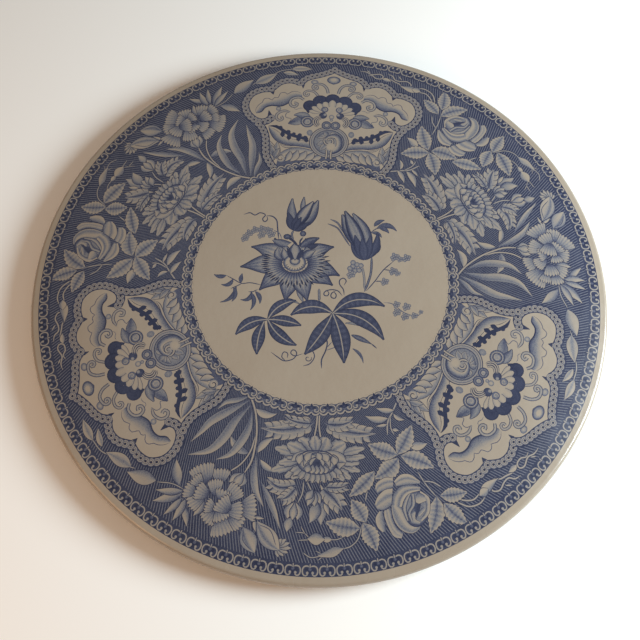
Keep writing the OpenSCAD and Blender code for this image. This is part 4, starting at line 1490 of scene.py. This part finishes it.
def foot_glaze(name):
    """Cream glaze wiped from the tread, which is bare and a little grubby."""
    shader = Shader(name)
    height = shader.node("ShaderNodeSeparateXYZ", {"Vector": shader.place()}).outputs["Z"]
    ragged = shader.math("ADD", height, shader.remap(shader.noise(240, 2), 0.3, 0.7, -0.0003, 0.0003))
    bare = shader.remap(ragged, 0.0011, 0.0007)
    grime = shader.remap(shader.noise(180, 4, 0.7), 0.45, 0.75)
    clay = shader.mix(shader.math("MULTIPLY", grime, 0.5), BISCUIT, GRIME)
    shader.paint(shader.mix(bare, cream_colour(shader), clay))
    glaze_surface(shader)
    shader.plug(shader.remap(bare, 0, 1, 0.24, 0.85), shader.surface.inputs["Roughness"])
    return shader.material


def biscuit_ware(name):
    """The unglazed body inside the coats."""
    shader = Shader(name)
    grain = shader.remap(shader.noise(900, 3), 0.3, 0.7)
    shader.paint(shader.mix(grain, BISCUIT, BISCUIT_DEEP))
    shader.surface.inputs["Roughness"].default_value = 0.85
    shader.bump(grain, 0.3, 0.0003)
    return shader.material


# ------------------------------------------------------------------ the platter
def finish_piece(piece, material, slot, *nodes):
    """Gives a piece its material, hides the CAD nodes that it stands in for, and hangs it from the root;
    slot is not used.
    """
    piece.data.materials.append(material)
    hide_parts(*nodes)
    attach(piece, "root")


PRINTED = printed_glaze("printed_cobalt_glaze")
PLAIN = cream_glaze("plain_cream_glaze")
FOOT = foot_glaze("foot_cream_glaze")
BARE = biscuit_ware("bare_biscuit")

for name, layer, slot, node in (
        ("bouquet_medallion", flatten(centre_art(), [CENTRE]), "cream_glaze", "centre_print"),
        ("inner_scroll_border", flatten(inner_border_art(), [INNER]), "pale_blue_print",
         "inner_border_print"),
        ("outer_scroll_border", flatten(outer_border_art(), [OUTER]), "blue_print",
         "outer_border_print")):
    finish_piece(coat_piece(name, layer), PRINTED, slot, node)
cartouche_layer = flatten(cartouche_art(), [CARTOUCHE], SECTOR_DEG / 2)
floral_layer = flatten(floral_art(), [FLOWERS, HATCHED], SECTOR_DEG / 2)
for k in range(SECTORS):
    turn = FIRST_CARTOUCHE_DEG - 90 + SECTOR_DEG * k
    finish_piece(coat_piece(f"cartouche_{k + 1}", cartouche_layer, turn), PRINTED, "cream_glaze",
                 f"cartouche_print_{k + 1}")
    finish_piece(coat_piece(f"flower_panel_{k + 1}", floral_layer, turn + SECTOR_DEG / 2), PRINTED,
                 "blue_print", f"floral_print_{k + 1}")

foot_in, foot_out = FOOT_R - FOOT_ROOT_W / 2, FOOT_R + FOOT_ROOT_W / 2
for name, section, material, node in (
        ("rolled_lip", lip_section(), PLAIN, "lip_glaze"),
        ("turned_foot", foot_section(), FOOT, "foot_ring"),
        ("underside_glaze", skin_section(foot_out, BACK_R), PLAIN, "back_glaze"),
        ("foot_well_skin", skin_section(0.0, foot_in), PLAIN, "foot_well_glaze")):
    finish_piece(turned(name, section), material, "cream_glaze", node)

for material_slot in bpy.data.objects["body"].material_slots:
    material_slot.material = BARE


# ------------------------------------------------------------------ table, light and camera
FLOOR_COLOUR = (0.93, 0.93, 0.93)
FLOOR_ROUGHNESS = 0.75
# The camera was fitted in units of this many metres, about the print's radius.
FIT_UNIT = 161.47 * MM


def make_floor():
    bpy.ops.mesh.primitive_plane_add(size=8, location=(0, 0, 0))
    floor = bpy.context.object
    floor.name = "floor"
    shader = Shader("pale_floor")
    shader.surface.inputs["Base Color"].default_value = (*FLOOR_COLOUR, 1)
    shader.surface.inputs["Roughness"].default_value = FLOOR_ROUGHNESS
    floor.data.materials.append(shader.material)
    return floor


def soft_light(name, place, size, watts, colour):
    """A round soft lamp that points at the middle of the platter."""
    lamp = bpy.data.lights.new(name, "AREA")
    lamp.shape = "DISK"
    lamp.size = size
    lamp.energy = watts
    lamp.color = colour
    light = add_object(name, lamp)
    light.location = place
    light.rotation_euler = (Vector((0, 0, 0.01)) - Vector(place)).to_track_quat("-Z", "Y").to_euler()
    return light


def make_world(colour, strength):
    world = bpy.data.worlds.new("studio")
    world.use_nodes = True
    background = world.node_tree.nodes["Background"]
    background.inputs["Color"].default_value = (*colour, 1)
    background.inputs["Strength"].default_value = strength
    bpy.context.scene.world = world


def make_camera():
    """The photo's view: steep, from the near side, with the frame shifted a little."""
    camera = bpy.data.cameras.new("camera")
    camera.lens = 46.7
    camera.sensor_width = 36
    camera.shift_x = -0.0287
    camera.shift_y = -0.0485
    camera.clip_start = 0.01
    holder = add_object("camera", camera)
    right = Vector((0.99994, -0.00227, 0.01112))
    up = Vector((-0.00227, 0.92012, 0.39163))
    back = -Vector((0.01112, 0.39163, -0.92006))
    turn = Matrix((right, up, back)).transposed().to_4x4()
    place = Vector((0.0305 * FIT_UNIT, -1.1764 * FIT_UNIT, 2.6805 * FIT_UNIT + FACE_HEIGHT * MM))
    holder.matrix_world = Matrix.Translation(place) @ turn
    bpy.context.scene.camera = holder
    bpy.context.scene.view_settings.view_transform = "Standard"


make_floor()
make_world(colour=(1.0, 0.86, 0.72), strength=0.27)
soft_light("window", place=(0.66, -0.04, 0.38), size=0.4, watts=9.6, colour=(0.86, 0.97, 1.0))
soft_light("lamp", place=(-0.55, -0.4, 0.4), size=0.4, watts=1.6, colour=(1.0, 0.58, 0.3))
make_camera()
